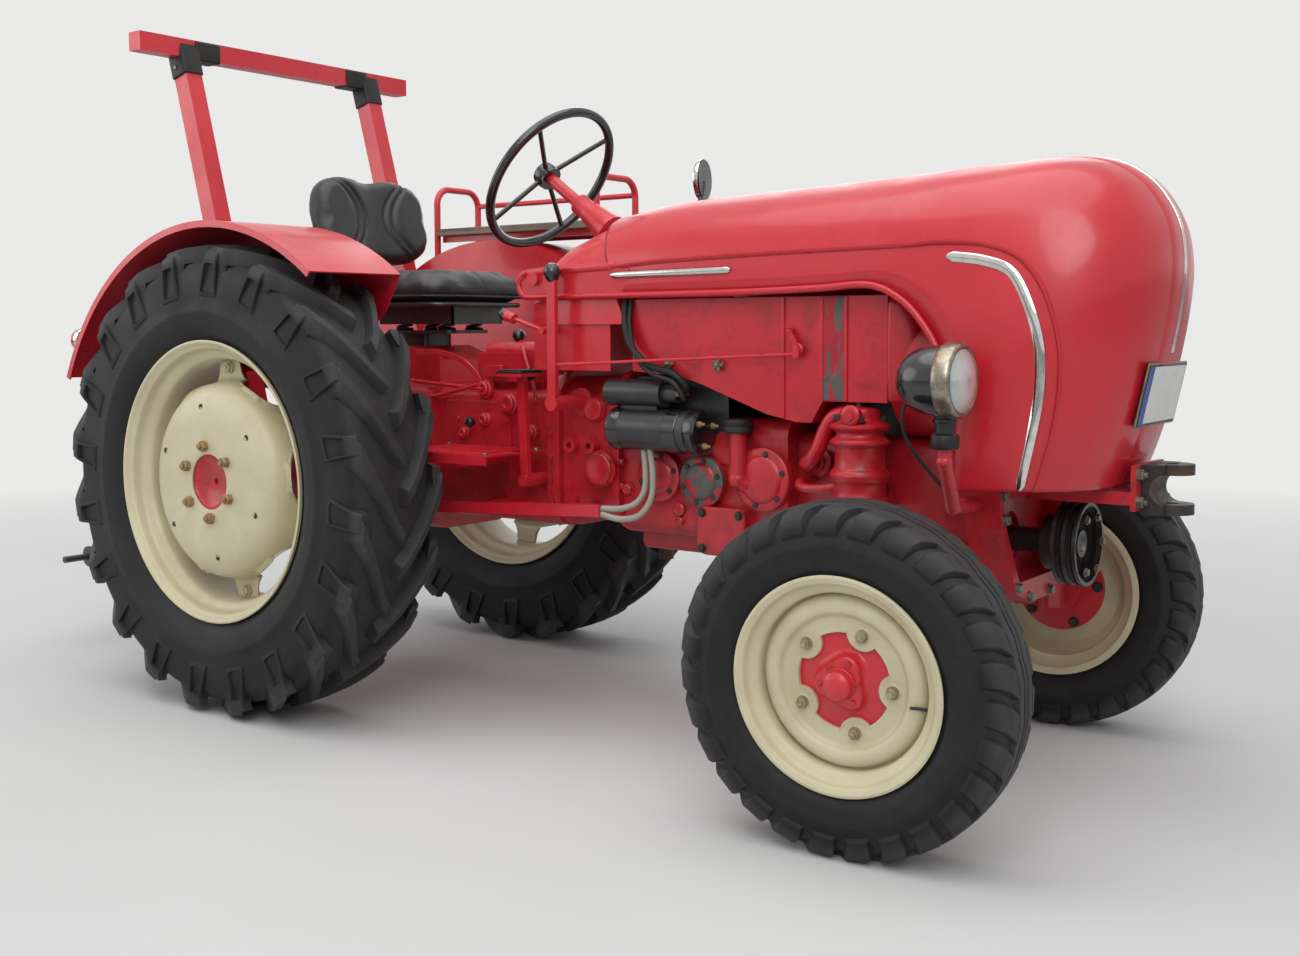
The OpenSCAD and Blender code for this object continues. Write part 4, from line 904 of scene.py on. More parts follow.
def hood_point(t, share, lift=0.0):
    """A point of the hood at row t and at a share of the half width from -1, right, to 1, left."""
    cx, cz, ex, ez, w = hood_row(t)
    s = max(min(share, 1), -1)
    a = math.asin(abs(s) ** 1.35)
    f = max(cos(a), 0) ** (2 / 2.7)
    p = at(ex + (cx - ex) * f, w * s, ez + (cz - ez) * f)
    if lift:
        q = at(ex + (cx - ex) * f * 0.98, w * s * 0.98, ez + (cz - ez) * f * 0.98)
        p = p + (p - q).normalized() * mm(lift)
    return p


def hood_angle(t, degrees, lift=0.0):
    a = radians(degrees)
    return hood_point(t, math.copysign(abs(sin(a)) ** (2 / 2.7), a), lift)


def make_hood():
    n = len(HOOD_ROWS) - 1
    # Middle and radius of the arm's rounded end
    end_x, end_z, end_r = 776, 1162, 31
    per, side_steps = 8, 26
    skin = open_grid([[hood_angle(i / per, 90 * j / side_steps) for j in range(-side_steps, side_steps + 1)]
                      for i in range(n * per + 1)])
    obj = piece("hood_skin", skin, HOOD_PAINT, "hood", smooth=50)
    thicken(obj, 0.003)
    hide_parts("hood")
    # Rear arms of the hood, with a rounded end round the pivot
    arm = [(1104, 1131), (1104, 1196), (1040, 1198), (900, 1196), (790, 1193)]
    arm += [(end_x + end_r * cos(a), end_z + end_r * sin(a)) for a in (radians(90 + 15 * k) for k in range(1, 12))]
    arm += [(776, 1131)]
    piece("hood_arms", joined([prism(arm, -side * 281.8, -side * 285.2, UPRIGHT) for side in (-1, 1)]), HOOD_PAINT,
            "hood")
    for side, tag in SIDES:
        # Rolled edge: round the arm's end, under the hood, up the arch and down to the nose's corner
        edge = [at(end_x + end_r * cos(a), side * 284, end_z + end_r * sin(a))
                for a in (radians(95 + 17 * k) for k in range(11))]
        edge += [at(x, side * 284, 1131) for x in (820, 900, 980)]
        edge += [hood_point(t / 4, side) for t in range(0, 4 * n + 1)]
        piece("hood_edge_" + tag, swept(curve_points(edge, 3), ring(8.5, 12), up=(0, 1, 0)), HOOD_PAINT, "hood",
                smooth=60)
        # Shoulder crease, from the arm's end forward onto the nose
        crease = [at(768, side * 285, 1191.5), at(830, side * 285, 1196), at(900, side * 285, 1198),
                at(1040, side * 285.5, 1202)]
        crease += [hood_point(t / 4, side * share) for t, share in
                   ((1, 0.984), (4, 0.9827), (8, 0.9804), (12, 0.982), (16, 0.985))]
        crease += [side_point(x, z, side) for x, z in ((1910, 1226), (1972, 1225), (2040, 1216), (2102, 1190),
                (2144, 1140), (2168, 1082), (2184, 1002), (2184, 920), (2172, 838), (2150, 760), (2132, 712))]
        crease = curve_points(crease, 6)
        rows = len(crease)
        fades = [min(1, 0.1 + 3.0 * (rows - 1 - i) / rows) for i in range(rows)]
        shape = [[(a * fade, b * fade) for a, b in ring(10, 12, 0.45)] for fade in fades]
        piece("hood_crease_" + tag, swept(crease, shape, up=(0, 1, 0)), HOOD_PAINT, "hood", smooth=60)
        # Chrome bar and the long strip that runs forward and down the nose
        bar = [at(1052, side * 287.5, 1180), at(1150, side * 288.5, 1181.5), at(1300, side * 290, 1183),
                at(1404, side * 291, 1184)]
        chrome_strip("chrome_bar_" + tag, bar, 8.5, side)
        strip = [(1950, 1197), (2030, 1186), (2090, 1159), (2130, 1082), (2149, 1002), (2148, 920), (2136, 842),
                (2107, 716)]
        strip = [side_point(x, z, side) for x, z in strip]
        chrome_strip("chrome_strip_" + tag, strip, 10.5, side)
    # Raised band over the middle of the nose
    rows = []
    profile = [(-72, -1), (-66, 0.8), (-58, 3.4), (-44, 4.6), (-22, 5), (0, 5), (22, 5), (44, 4.6), (58, 3.4),
            (66, 0.8), (72, -1)]
    first, last, steps = 2.6, 11.9, 70
    for k in range(steps + 1):
        t = first + (last - first) * k / steps
        grow = min(1, k / 14)
        width = hood_row(t)[4]
        narrow = 0.35 + 0.65 * grow
        rows.append([hood_point(t, y * narrow / width, 0.01 + h * grow) for y, h in profile])
    piece("nose_band", open_grid(rows), HOOD_PAINT, "hood", smooth=60)
    # Chrome trim on the band's middle line, down to the plate
    rows = []
    first, last, steps = 3.3, 9.95, 72
    for k in range(steps + 1):
        t = first + (last - first) * k / steps
        width = hood_row(t)[4]
        fade = min(1, 0.2 + k / 5)
        rows.append([hood_point(t, y * fade / width, 4.2 + h * fade) for y, h in ((-6.5, -1), (-6.5, 1.5), (-4, 3.6),
                (0, 4.6), (4, 3.6), (6.5, 1.5), (6.5, -1))])
    piece("nose_trim", strips(rows), CHROME, "hood", smooth=60)
    places = [(at(800, side * 285, 1177), (0, side, 0)) for side in (-1, 1)]
    bolts("hood_pivot_bolts", places, ZINC, flats=19, height=11)
    # Number plate: pressed frame and the blank sheet
    plate = placed(2303, 0, 907, 12, "Y")
    piece("plate_holder", box((-3, -131, -69), (2, 131, 69), plate), ZINC, "hood", bevel=0.002)
    sheet = piece("plate_sheet", box((-1, -127.5, -65), (3.6, 127.5, 65), plate), PLATE, "hood", bevel=0.0016)
    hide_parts("number_plate")


def side_point(x, z, side):
    """The point of the hood's side skin nearest to a place seen from the side, lifted off it a little."""
    best = None
    target = at(x, side * 305, z)
    for i in range(0, 12 * 6 + 1):
        for j in range(60, 91, 1):
            p = hood_angle(i / 6, side * j)
            gap = (p.x - target.x) ** 2 + (p.z - target.z) ** 2
            if best is None or gap < best[0]:
                best = (gap, p)
    return Vector((target.x, best[1].y + side * 0.0015, target.z))


def chrome_strip(name, points, half, side):
    path = curve_points(points)
    count = len(path)
    rows = []
    for i in range(count):
        ends = min(1, 0.45 + 1.1 * min(i, count - 1 - i))
        rows.append([(s * ends, t * side) for s, t in ((-half, -2), (-half, 1.2), (-half * 0.55, 3.6), (0, 4.8),
                                                       (half * 0.55, 3.6), (half, 1.2), (half, -2))])
    piece(name, swept(path, rows, up=(0, 1, 0)), CHROME, "hood", smooth=60)


make_hood()


# Seat

def inflate(obj, cap, pressure=4.0, voxel=0.006, rounds=12):
    """Swells a pad by cloth simulation, holding each point within cap of where it was."""
    bpy.ops.object.select_all(action="DESELECT")
    obj.select_set(True)
    bpy.context.view_layer.objects.active = obj
    mod = obj.modifiers.new("remesh", "REMESH")
    mod.mode, mod.voxel_size = "VOXEL", voxel
    bpy.ops.object.modifier_apply(modifier=mod.name)
    rest = [v.co.copy() for v in obj.data.vertices]
    cloth = obj.modifiers.new("cloth", "CLOTH")
    cloth.settings.use_pressure = True
    cloth.settings.uniform_pressure_force = pressure
    cloth.settings.effector_weights.gravity = 0
    cloth.settings.quality = 5
    cloth.settings.mass = 0.3
    cloth.settings.tension_stiffness = 12
    cloth.settings.compression_stiffness = 12
    for i in range(1, 21):
        scene.frame_set(i)
    bpy.ops.object.modifier_apply(modifier=cloth.name)
    scene.frame_set(1)
    for v, r0 in zip(obj.data.vertices, rest):
        move = v.co - r0
        if move.length > mm(cap):
            v.co = r0 + move.normalized() * mm(cap)
    bm = bmesh.new()
    bm.from_mesh(obj.data)
    for _ in range(rounds):
        bmesh.ops.smooth_vert(bm, verts=bm.verts, factor=0.5, use_axis_x=True, use_axis_y=True, use_axis_z=True)
    bm.to_mesh(obj.data)
    bm.free()
    for p in obj.data.polygons:
        p.use_smooth = True


def make_seat():
    # Cushion: its frame has Z up and its middle at half height
    mid = placed(157, 0, 1173)
    cushion = piece("seat_cushion_pad", prism(outline_round(-208, -214, 208, 214, 84), -44, 32, mid), VINYL, smooth=0)
    inflate(cushion, 16)
    inverse = mid.inverted()
    for vert in cushion.data.vertices:
        p = inverse @ vert.co
        # The side bulges like a bolster and is drawn in at the seams
        high = (p.z + mm(6)) / mm(44)
        draw = 1 - 0.13 * min(1, abs(high)) ** 2.6
        p.x, p.y = p.x * draw, p.y * draw
        r = min(1, hypot(p.x / 0.2, p.y / 0.21))
        if p.z > 0:
            # A dished seat with a raised rim, falling away at its front, and creased where it is sat on
            p.z += mm(15) * exp(-((r - 0.82) / 0.2) ** 2) - mm(10) * (1 - r * r) - mm(12) * max(0, p.x / 0.2) ** 2
            for fold, lean in ((-0.02, 0.35), (0.055, 0.2), (0.12, 0.45)):
                crease = (p.x - fold - lean * (abs(p.y) - 0.12)) / 0.011
                p.z -= mm(4.5) * exp(-crease * crease) * min(1, max(0, (abs(p.y) - 0.06) / 0.05))
        p.z = max(-mm(45), min(mm(46), p.z))
        # The sewn channel along the middle
        seam = abs(p.y) / mm(9)
        if p.z >= 0 and seam < 1:
            p.z -= mm(5) * (1 - seam * seam) ** 2
        vert.co = mid @ p
    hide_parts("seat_cushion")
    # Backrest: two lobes with a dip between them at the top
    back = placed(-105, 0, 1235, -12, "Y")
    face = back @ Matrix.Rotation(radians(90), 4, "Y") @ Matrix.Rotation(radians(90), 4, "Z")
    outline = []
    steps = 72
    for k in range(steps):
        a = 2 * pi * k / steps
        c, s = cos(a), sin(a)
        y = 224 * math.copysign(abs(c) ** 0.58, c)
        z = 150 + 146 * math.copysign(abs(s) ** 0.66, s)
        if s > 0:
            z -= 12 * exp(-(y / 62) ** 2)
        outline.append((y, z))
    pad = piece("seat_back_pad", prism(outline, -34, 30, face), VINYL, smooth=0)
    inflate(pad, 14)
    inverse = face.inverted()
    for vert in pad.data.vertices:
        p = inverse @ vert.co
        if p.z > 0:
            # Puffed lobes beside a soft middle, with two sewn grooves each that bow away from it
            p.z += mm(12) * exp(-((abs(p.x) - 0.14) / 0.05) ** 2 - ((p.y - 0.15) / 0.1) ** 2)
            p.z -= mm(9) * exp(-(p.x / 0.05) ** 2)
            bow = 0.058 * ((p.y - 0.15) / 0.1) ** 2
            for place in (0.040, 0.070):
                p.z -= mm(10) * exp(-((abs(p.x) - place - bow) / 0.0085) ** 2)
        p.z += mm(10) * (p.x / 0.2) ** 2
        p.z = max(-mm(50), min(mm(54), p.z))
        vert.co = face @ p
    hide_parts("seat_backrest")
    # Seam roll round the foot of the cushion
    rim = [mid @ Vector((mm(x), mm(y), mm(-30))) for x, y in outline_round(-204, -210, 204, 210, 84, 6)]
    piece("seat_piping", swept(curve_points(rim, 2, True), ring(4, 8), cyclic=True), HOSE, smooth=60)


make_seat()


# Fixed body, engine and fittings

def make_lamps():
    # X, distance from the middle and Z of the lamp's middle, and X of its rubber neck
    lamp_x, lamp_y, lamp_z, neck_x = 1976, 425, 943, 2006
    shells = []
    for side in (-1, 1):
        shells.append(turned(smoothed([(0.2, -72), (16, -71), (30, -66.5), (43, -58), (54, -46), (63, -29), (69, -8),
                (71.4, 14), (71.8, 42)]), placed(lamp_x, side * lamp_y, lamp_z, 90, "Y"), 64))
        shells.append(turned([(22, 886), (27, 880), (27, 874), (22, 872), (22, 868), (25, 866), (25, 860), (21, 858),
                (21, 838), (25, 834), (25, 822)], placed(neck_x, side * lamp_y, 0), 32))
    shell = piece("headlamp_shells", joined(shells), BLACK_GLOSS, smooth=40)
    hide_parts("headlamps")
    for side, tag in SIDES:
        m = placed(lamp_x, side * lamp_y, lamp_z, 90, "Y")
        piece("headlamp_rim_" + tag, turned(smoothed([(71, 30), (75, 32), (77.5, 38), (78, 50), (76.5, 62), (73, 68),
                (68, 70), (64.5, 68), (63, 62)], 2), m, 64), LAMP_RIM, smooth=50)
        piece("headlamp_lens_" + tag, turned([(65, 62), (64, 68), (56, 72.5), (42, 76.5), (26, 79), (10, 80.4),
                (0.2, 80.6)], m, 56), CLEAR_LENS)
        bolts("headlamp_screw_" + tag, [(at(2030, side * lamp_y, 868), (0.9, 0, -0.44))], ZINC, flats=10, height=5,
                washer=False)
        piece("headlamp_clamp_" + tag, turned([(20, 806), (27, 806), (29, 810), (29, 830), (27, 834), (20, 834)],
            placed(neck_x, side * lamp_y, 0), 32), HOSE)
        hose("headlamp_cable_" + tag, [(x, side * y, z) for x, y, z in ((1926, 425, 904), (1913, 424, 880),
                (1910, 419, 846), (1918, 404, 808), (1944, 382, 762), (1984, 364, 712))], 4, HOSE, sides=8)
        rear = placed(-656, side * 672, 1021, -90, "Y")
        piece("tail_lens_" + tag, turned([(35.5, -30), (35.5, -14), (33, -8), (25, -2.2), (12, 0.6), (0.2, 1.2)],
                rear, 40), RED_LENS)
        piece("tail_rim_" + tag, turned([(34.5, -42), (37.5, -40), (38, -30), (36, -27), (34.5, -27)], rear, 40,
                closed=True), CHROME)


def make_front():
    # Belts in the pulley's grooves
    parts = []
    for x in (2116, 2140):
        rows = []
        for i in range(64):
            a = 2 * pi * i / 64
            rows.append(at(x, 87 * cos(a), 572 + 87 * sin(a)))
        parts.append(swept(rows, [(-4, -6), (4, -6), (7.5, 5), (-7.5, 5)], cyclic=True, up=(1, 0, 0)))
    piece("pulley_belts", joined(parts), HOSE, smooth=40)
    places = disc_holes(at(2160.5, 0, 572), (1, 0, 0), 66, 6)
    bolts("pulley_bolts", places, ZINC, flats=14, height=7)
    places = [(at(2046, y, z), (1, 0, 0)) for y, z in ((-218, 694), (218, 694), (-208, 640), (208, 640), (-128, 482),
            (128, 482), (-60, 452), (60, 452))]
    bolts("support_bolts", places, ZINC, flats=19, height=10)
    places = [(at(2283.7, y, z), (1, 0, 0)) for y in (-78, 78) for z in (682, 740)]
    bolts("tow_bolts", places, ZINC, flats=22, height=12, stud=6)
    # Kingpin caps and grease fittings
    for side, tag in SIDES:
        m = placed(WHEELBASE, side * KINGPIN_Y, 486)
        piece("kingpin_cap_" + tag, turned([(33.5, -14.5), (33.5, -2), (30, 2), (10, 4), (6, 6), (6, 12), (3, 15),
                (0.1, 15.4)], m, 28), ENGINE_PAINT, "knuckle_" + tag)


def make_engine():
    # Bolts round the engine's covers
    places = []
    for x, z, r, t, n in ((1140, 682, 52, 26, 6), (1272, 676, 52, 30, 6), (1440, 690, 63, 22, 6)):
        places += disc_holes(at(x, -190 - t, z), RIGHTWARD, r, n, 0.3)
    bolts("cover_bolts", places, DARK_IRON, flats=13, height=7)
    # Raised domes and rings on the covers
    parts = []
    for x, z, r, t in ((1140, 682, 62, 26), (1272, 676, 62, 30), (1440, 690, 74, 22)):
        m = aimed(at(x, -190 - t, z), RIGHTWARD)
        parts.append(turned([(r + 2, -8), (r + 2, 0), (r - 2, 3), (r - 16, 3.4), (r - 20, 8), (r - 30, 11),
                (0.2, 12)], m, 48))
    piece("worn_cover", parts.pop(1), worn_paint("worn_cover", (22, 22, 22), 0.44, 0.50), smooth=40)
    # Round caps and plugs on the clutch housing, and the cast bosses of the side
    for x, z, r, y in ((925, 842, 30, -196), (960, 690, 41, -218), (1190, 600, 17, -186), (1192, 570, 11, -186),
            (1030, 640, 14, -190)):
        parts.append(turned([(r + 5, -6), (r + 4, 2), (r, 6), (r, 13), (r - 3, 16), (r * 0.6, 16.5), (r * 0.5, 15),
                (0.2, 15)], aimed(at(x, y, z), RIGHTWARD), 40))
    piece("engine_covers", joined(parts), ENGINE_PAINT, smooth=40)
    # Black plates as painted shade: one behind the starter, and others behind the cylinders
    piece("starter_shade_plate", prism(outline_round(1042, 764, 1338, 930, 40, 5), 191, 197, UPRIGHT), BLACK_PAINT,
            bevel=0.002)
    piece("shade_plates", joined([box((1012, -38, 880), (1130, -30, 1125)),
            box((1130, -38, 790), (1780, -30, 1100)), box((1780, -60, 700), (1870, -52, 860))]), BLACK_PAINT)
    # Lower bolted cover with rounded corners, and the control rod's clevis on the shroud
    piece("lower_cover", prism(outline_round(1264, 498, 1401, 617, 26, 6), 214, 226, UPRIGHT), ENGINE_PAINT,
            bevel=0.004)
    bolts("lower_cover_bolts", [(at(x, -226, z), RIGHTWARD) for x in (1280, 1386) for z in (514, 601)], DARK_IRON,
            flats=16, height=9)
    piece("rod_clevis", joined([turned([(15, -14), (15, 0), (11, 3), (9, 8), (0.2, 9)],
            aimed(at(1570, -268, 1000), RIGHTWARD), 24), swept([at(1570, -268, 1004), at(1556, -268, 1030),
            at(1548, -267, 1044)], [(-6, -3), (6, -3), (6, 3), (-6, 3)], up=(0, 1, 0)),
            turned([(7, -12), (7, 0), (5, 3), (0.2, 3.5)], aimed(at(1549, -268, 1042), RIGHTWARD), 20)]),
            ENGINE_PAINT, smooth=35)
    # Oil filler cap
    m = placed(1382, -224, 800)
    piece("filler_cap", turned([(30, 0), (36.5, 4), (37, 10), (35, 16), (37, 20), (37, 28), (33, 32), (10, 33),
            (0.2, 33)], m, 40), HOSE)
    # Shroud: rolled seams, the worn strap, and clips
    for k, (x, z0, z1) in enumerate(((1527, 842, 1118), (1628, 886, 1118), (1689, 886, 1118))):
        path = [at(x, -256, z0), at(x, -256, (z0 + z1) / 2), at(x, -256, z1)]
        section = [(-5, -2), (5, -2), (3.4, 2.6), (0, 3.8), (-3.4, 2.6)]
        piece("shroud_seam_%d" % k, swept(curve_points(path, 4), section, up=RIGHTWARD), ENGINE_PAINT, smooth=50)
    piece("shroud_band", box((1631, -257.2, 886), (1686, -254, 1118)), worn_paint("worn_band", (30, 8, 7), 0.53,
            0.56), bevel=0.0012)
    # The casing's rounded front, round the blower drum
    rows = []
    for k in range(15):
        a = radians(6.3 * k)
        top = 1117 - 95 * (1 - cos(a))
        line = [(884, 14), (886, 4), (892, 0), (940, -1), (top - 60, -1), (top - 16, 0), (top - 5, 3), (top, 12),
                (top + 1, 40)]
        rows.append([at(1788 + (92 - q) * sin(a), -162 - (92 - q) * cos(a), z) for z, q in line])
    thicken(piece("blower_casing", open_grid(rows), ENGINE_PAINT, smooth=50), 0.003)
    for k, x in enumerate((1206, 1351)):
        m = aimed(at(x, -255, 963), RIGHTWARD)
        star = [((12 + 4.5 * cos(5 * a)) * cos(a), (12 + 4.5 * cos(5 * a)) * sin(a))
                for a in (2 * pi * i / 60 for i in range(60))]
        parts = [prism(star, 4, 13, m), turned([(11, -1), (11, 3), (7, 4), (6.5, 16), (4, 19), (0.2, 19.5)], m, 24)]
        piece("wing_nut_%d" % k, joined(parts), ZINC, bevel=0.0008)
    # Blower: inlet grille rings in front of the drum
    m = placed(1899, -90, 960, 90, "Y")
    parts = [turned([(r - 3, 0), (r - 3, 5), (r + 3, 5), (r + 3, 0)], m, 56, closed=True) for r in range(35, 160, 20)]
    piece("blower_grille", joined(parts), DARK_IRON)
    # Starter: end caps, band, terminals and cables
    m = placed(1040, -250, 800, 90, "Y")
    piece("starter_caps", joined([
        turned([(30, -8), (50, -4), (54.5, 2), (54.5, 26), (52.5, 30), (52.5, 34)], m, 40),
        turned([(53.6, 170), (54.8, 172), (54.8, 208), (53.6, 210)], m, 40),
        turned([(52.5, 232), (54.5, 236), (54.5, 258), (48, 264), (20, 266)], m, 40)]), BLACK_GLOSS)
    bolts("starter_bolts", disc_holes(at(1306, -250, 800), (1, 0, 0), 34, 3, 0.4) + disc_holes(at(1231, -250, 890),
            (1, 0, 0), 12, 2), BRASS_NUT, flats=12, height=8, stud=8)
    hose("starter_cable_a", ((1236, -252, 896), (1258, -262, 906), (1232, -280, 940), (1160, -284, 962),
            (1100, -276, 1010), (1078, -268, 1070), (1074, -258, 1118)), 9, HOSE)
    hose("starter_cable_b", ((1232, -246, 884), (1262, -276, 880), (1238, -290, 920), (1176, -290, 940),
            (1122, -284, 985), (1096, -272, 1060), (1092, -258, 1120)), 6, HOSE)
    hose("drain_hose_a", ((1128, -258, 750), (1137, -264, 700), (1140, -272, 652), (1126, -288, 620),
            (1094, -308, 606), (1046, -327, 605)), 8, GREY_HOSE)
    hose("drain_hose_b", ((1150, -262, 752), (1164, -270, 690), (1166, -281, 632), (1142, -298, 591),
            (1096, -315, 581), (1046, -329, 592)), 8, GREY_HOSE)
    # Oil filter: ribbed body, elbow pipe with its flange, bracket, clamp ring, bolts and lines
    m = placed(1715, -236, 0)
    elbow = [(1706, -236, 852), (1676, -236, 857), (1645, -236, 845), (1624, -236, 812), (1608, -238, 772),
            (1584, -232, 744), (1562, -205, 735), (1560, -141, 735)]
    body = smoothed([(0.2, 640), (60, 640), (65, 643), (66.2, 650), (66, 662), (62, 670), (58.5, 675), (58.5, 700),
            (63, 706), (66.5, 712), (66.5, 726), (62, 733), (56.5, 740), (56, 780), (62, 786), (66.5, 792), (66, 799),
            (59, 804), (54.5, 810), (55, 817), (63, 823), (67, 828), (65, 834), (54, 840), (46, 846), (44.5, 862),
            (40, 870), (20, 873), (0.2, 873)], 2)
    filter_parts = [turned(body, m, 72), rod(elbow, 17.5, 18, 6), box((1667, -186, 650), (1763, -142, 686)),
            turned([(17, -6), (34, -6), (35, -3), (35, 6), (32, 8), (24, 9), (22, 16), (17, 18)],
            aimed(at(1560, -149, 735), RIGHTWARD), 40), turned([(12, -60), (19, -58), (19, -10), (23, -8), (23, 6),
            (19, 9), (12, 9.5), (11, 13), (0.2, 13.5)], aimed(at(1722, -292, 856), RIGHTWARD), 32),
            turned([(17, -10), (22, -10), (24, -7), (24, 6), (21, 9), (17, 9)], aimed(at(1690, -236, 855),
            (-1, 0, 0.1)), 32)]
    oil = piece("oil_filter_body", joined(filter_parts), ENGINE_PAINT, smooth=45)
    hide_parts("oil_filter")
    piece("filter_rings", joined([turned([(66.4, z), (68.6, z + 1.5), (68.6, z + 6), (66.4, z + 8)], m, 48,
            closed=True) for z in (649, 717, 791, 826)]), ENGINE_PAINT)
    bolts("filter_bolts", [(at(1715, -236, 872), (0, 0, 1))] + disc_holes(at(1715, -236, 843), (0, 0, 1), 50, 4, 0.5),
            DARK_IRON, flats=17, height=12)
    hose("oil_line", ((1662, -240, 690), (1625, -246, 684), (1575, -240, 682), (1548, -215, 690), (1545, -142, 694)),
            11, ENGINE_PAINT)
    hose("fuel_line", ((1240, 246, 806), (1250, 262, 880), (1270, 240, 1000), (1290, 200, 1080)), 4, COPPER)
    hose("fuel_line_b", ((1300, 246, 806), (1312, 264, 880), (1330, 244, 1000), (1350, 200, 1080)), 4, COPPER)
    # Case bolts along the flanges
    places = []
    for z in range(585, 900, 62):
        for side in (-1, 1):
            places.append((at(1011, side * 199, z), (1, 0, 0)))
            places.append((at(787, side * 198, z), (-1, 0, 0)))
    bolts("housing_bolts", places, ENGINE_PAINT, flats=17, height=9)
    places = [(at(x, -172, z), RIGHTWARD) for x in (412, 505, 598) for z in (712, 798)]
    places += disc_holes(at(960, -222, 690), RIGHTWARD, 38, 4, 0.6)
    bolts("gearbox_bolts", places, ENGINE_PAINT, flats=13, height=7)
    places = [(at(x, s * 80, 904), (0, 0, 1)) for x in (450, 520, 590, 660) for s in (-1, 1)]
    places += [(at(x, s * 100, 960.5), (0, 0, 1)) for x in (210, 270) for s in (-1, 1)]
    bolts("cover_top_bolts", places, ENGINE_PAINT, flats=15, height=8)
    for side, tag in SIDES:
        bolts("trumpet_bolts_" + tag, disc_holes(at(0, side * 210, REAR_Z), (0, side, 0), 116, 10), ENGINE_PAINT,
                flats=19, height=9)
        bolts("drum_bolts_" + tag, disc_holes(at(0, side * 499, REAR_Z), (0, -side, 0), 112, 8), ENGINE_PAINT,
                flats=17, height=8)
        bolts("plate_bolts_" + tag, [(at(x, side * 410, z), (0, -side, 0)) for x, z in ((40, 905), (120, 925),
                (230, 985), (-150, 930), (-300, 905), (330, 1075))], ZINC, flats=17, height=8)
        places = [(at(x, side * y, 727), (0, 0, 1)) for x in (415, 735) for y in (212, 410)]
        bolts("footplate_bolts_" + tag, places, ZINC, flats=13, height=6)
        # Raised tread bars on the footplates, and rubber pads on the pedals
        piece("footplate_tread_" + tag, joined([box((x, 205 if side > 0 else -416, 726.5),
                (x + 9, 416 if side > 0 else -205, 730.2)) for x in range(430, 720, 27)]), BODY_PAINT, bevel=0.0012)
        piece("pedal_pad_" + tag, joined([box((688, side * 234 if side > 0 else -318, 934),
                (777, side * 318 if side > 0 else -234, 940))] + [box((694 + 13 * k, side * 240 if side > 0 else -312,
                939), (701 + 13 * k, side * 312 if side > 0 else -240, 943)) for k in range(7)]), HOSE, bevel=0.0012)


